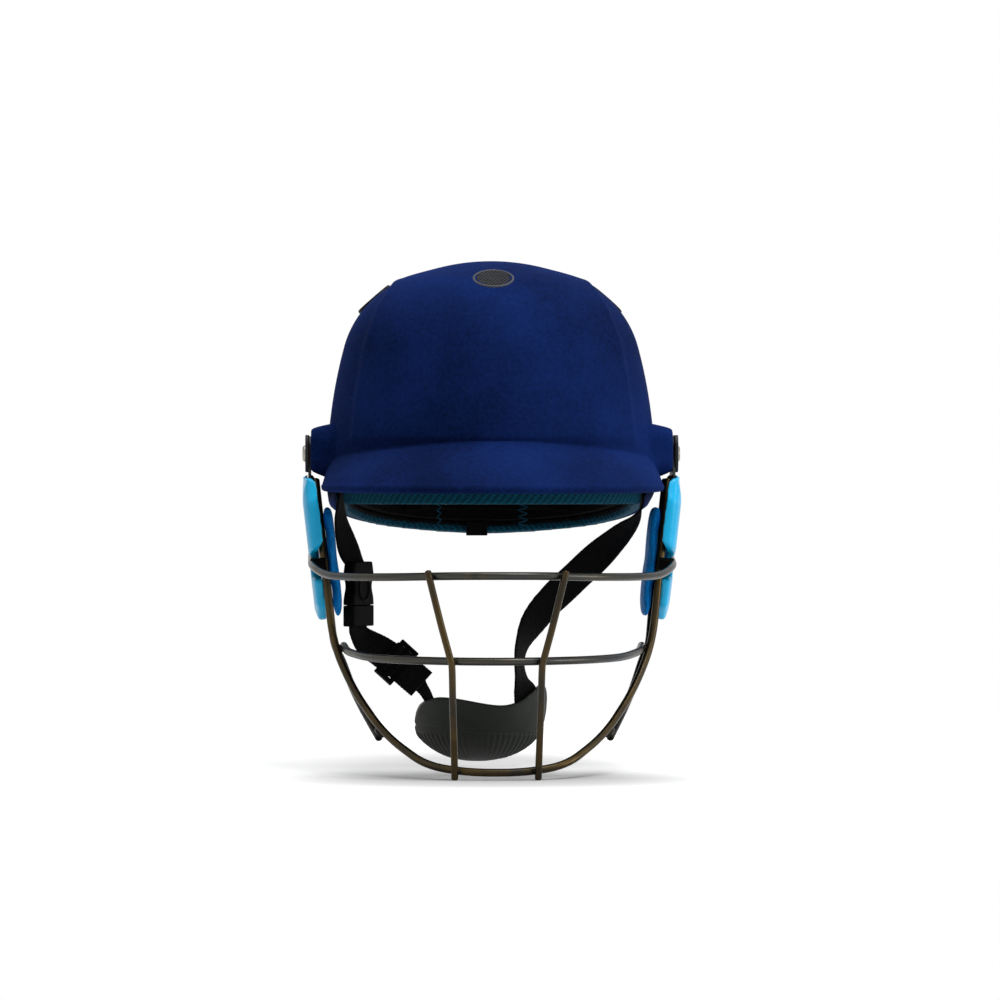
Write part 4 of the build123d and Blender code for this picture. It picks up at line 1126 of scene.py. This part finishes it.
RIGHT_WELDS = (
    ((40.0, -157.6, -53.0), 2.8, 1.7, (1.0, 0.5, 0.0)),
    ((26.9, -159.1, -103.8), 3.2, 2.0, (1.0, 0.0, 0.0)),
    ((24.2, -148.3, -170.0), 3.4, 2.2, (1.0, 0.0, 0.0)),
    ((93.9, -63.3, -98.9), 2.8, 1.7, (-0.3, -0.5, -0.8)),
    ((69.8, -104.2, -148.6), 4.6, 2.5, (-0.55, -0.6, -0.5)),
    ((112.6, -36.3, 4.6), 3.6, 2.0, (0.0, 0.2, 1.0)),
    ((112.6, -8.1, 4.6), 3.6, 2.0, (0.0, 0.0, 1.0)),
)
weld_places = []
for side in (-1, 1):
    for (x, y, z), long_half, wide_half, (a, b, c) in RIGHT_WELDS:
        weld_places.append(((side * x, y, z), long_half, wide_half, (side * a, b, c)))
# The beads take the darker steel copy, which is painted shade
piece("weld_beads", beads(weld_places), "side_steel", "face_guard", merge=0.02 * MM)

# Raised oval on the buckle's two faces

OVAL_HALF_WIDE, OVAL_HALF_LONG, OVAL_RADIUS, OVAL_DROP, OVAL_OUT = 6.0, 7.5, 0.7, 16.5, 4.0


def oval(place):
    """A thin closed bead round an oval."""
    points, steps, sides = [], circle(40), circle(10)
    for x, y in steps:
        way, centre = Vector((x, y, 0)), Vector((OVAL_HALF_WIDE * x, OVAL_HALF_LONG * y, 0))
        for c, s in sides:
            points.append((place @ (centre + (way * c + Vector((0, 0, s))) * OVAL_RADIUS)) * MM)
    return points, ring_faces(len(steps), len(sides))


buckle_way, upward = Vector(BUCKLE_WAY).normalized(), Vector((0, 0, 1))
buckle_out = upward.cross(buckle_way)
oval_axes = Matrix((buckle_way, upward, -buckle_out)).transposed().to_4x4()
oval_parts = []
for side in (-1, 1):
    middle = Vector((BUCKLE_X, ANCHOR_Y, BUCKLE_TOP - OVAL_DROP)) + buckle_out * side * OVAL_OUT
    oval_parts.append(oval(Matrix.Translation(middle) @ oval_axes))
piece("buckle_ovals", joined(oval_parts), "buckle_plastic", "chin_strap")

# Teal seam stitches down the black cloth at the back of the opening


def capsule(start, end, radius):
    """A short stitch: a thin bar with narrower closed ends."""
    start, end = Vector(start), Vector(end)
    turn = (end - start).to_track_quat("Z", "Y").to_matrix()
    points, sides = [], circle(8)
    stops = ((0.0, 0.3), (0.15, 0.9), (0.5, 1.0), (0.85, 0.9), (1.0, 0.3))
    for share, grow in stops:
        centre = start.lerp(end, share)
        points += [(centre + turn @ Vector((c, s, 0)) * radius * grow) * MM for c, s in sides]
    return points, bar_faces(len(stops), len(sides))


STITCH_LOW, STITCH_STEP, STITCH_RADIUS, STITCH_INSET = -25.0, 2.1, 0.45, 24.5
stitch_parts = []
for start_x, end_x in ((-32.5, -29.5), (20.5, 27.0)):
    for step in range(9):
        low = STITCH_LOW + step * STITCH_STEP
        left, right = (start_x, end_x) if step % 2 else (end_x, start_x)
        ends = []
        for x, z in ((left, low), (right, low + STITCH_STEP)):
            reach = dome_reach(z) - STITCH_INSET
            ends.append((x, REAR_AXIS + math.sqrt(reach**2 - x**2) - 0.2, z))
        stitch_parts.append(capsule(*ends, STITCH_RADIUS))
piece("inner_stitches", joined(stitch_parts), "teal_mesh", "helmet")

# Studio

scene = bpy.context.scene
scene.view_settings.view_transform = "Standard"


def looked_at(tree):
    """1 for camera, glossy and transmission rays, 0 for the rest."""
    ray = add_node(tree, "LightPath").outputs
    level = ray["Is Camera Ray"]
    for other in (ray["Is Glossy Ray"], ray["Is Transmission Ray"]):
        level = add_node(tree, "Math", (level, other), operation="MAXIMUM").outputs[0]
    return level


WORLD_LIGHT = 0.2
world = bpy.data.worlds.new("studio_world")
scene.world = world
world.use_nodes = True
background = world.node_tree.nodes["Background"]
background.inputs["Color"].default_value = (1.0, 1.0, 1.0, 1.0)
stops = (looked_at(world.node_tree), 0.0, 1.0, WORLD_LIGHT, 1.0)
level = add_node(world.node_tree, "MapRange", stops)
world.node_tree.links.new(level.outputs[0], background.inputs["Strength"])


def aimed(name, data, place, aim):
    """An object for a lamp or a camera, turned towards its aim."""
    obj = added(name, data)
    obj.location = place
    obj.rotation_euler = (Vector(aim) - Vector(place)).to_track_quat("-Z", "Y").to_euler()
    return obj


for lamp_name, place, aim, size, power in (
    ("key", (0.7, -0.9, 1.8), (0, 0, 0.02), (0.9, 0.9), 22.0),
    ("fill", (-1.9, -1.0, 0.5), (0, 0, -0.02), (0.8, 1.2), 2.2),
    ("top", (0.0, -0.1, 1.9), (0, 0, 0), (1.4, 1.4), 24.0),
    ("right_side", (2.0, -0.6, 0.3), (0, 0, -0.03), (0.7, 1.0), 13.5),
):
    lamp_data = bpy.data.lights.new(lamp_name, "AREA")
    lamp_data.shape = "RECTANGLE"
    lamp_data.size, lamp_data.size_y = size
    lamp_data.energy = power
    aimed(lamp_name, lamp_data, place, aim)

# Floor: pale paper that also glows for the camera, and less so in an oval under the helmet, where the
# falling glow paints a soft shadow on the floor, added to the shadow the lamps cast

FLOOR_Z, FLOOR_RADIUS, FLOOR_Y = -0.1751, 0.8, -0.1
PAINTED_SHADOW_Y, PAINTED_SHADOW_LONG, PAINTED_SHADOW_DEEP = -0.15, 0.2, 0.13
PAPER, GLOW = 0.74, 0.6
floor_ring = [(FLOOR_RADIUS * c, FLOOR_RADIUS * s + FLOOR_Y, FLOOR_Z) for c, s in circle(72)]
floor_mesh = mesh_from("floor", floor_ring, [tuple(range(len(floor_ring)))], smooth=False)
floor = added("floor", floor_mesh)
paper = Finish("floor_paper", 0.9, gloss=0.0)
paper.set("Base Color", (PAPER, PAPER, PAPER, 1.0))
# The oval where the glow falls off is a painted shadow: the paper alone renders darker than white
squeeze, shift = (1 / PAINTED_SHADOW_LONG, 1 / PAINTED_SHADOW_DEEP, 0.0), (0.0, -PAINTED_SHADOW_Y / PAINTED_SHADOW_DEEP, 0.0)
local = paper.node("VectorMath", (paper.coords, squeeze, shift), operation="MULTIPLY_ADD")
away = paper.node("VectorMath", local.outputs[:1], operation="LENGTH").outputs["Value"]
stops = (away, 0.3, 1.0, 0.0, GLOW)
outward = paper.node("MapRange", stops, interpolation_type="SMOOTHSTEP").outputs[0]
shine = paper.math("MULTIPLY", looked_at(paper.tree), outward)
glow = paper.node("Emission", {"Strength": shine})
total = paper.node("AddShader", (paper.shader.outputs[0], glow.outputs[0]))
paper.tree.links.new(total.outputs[0], paper.tree.nodes["Material Output"].inputs["Surface"])
floor.data.materials.append(paper.mat)

SENSOR, DISTANCE, VIEW_WIDTH = 36.0, 3.0, 0.63
YAW = math.radians(1.4)
AIM = (0.006, 0.0, -0.0076)
camera_data = bpy.data.cameras.new("camera")
camera_data.sensor_width = SENSOR
camera_data.lens = SENSOR * DISTANCE / VIEW_WIDTH
stand = (-DISTANCE * math.sin(YAW), -DISTANCE * math.cos(YAW), 0.0)
scene.camera = aimed("camera", camera_data, stand, AIM)
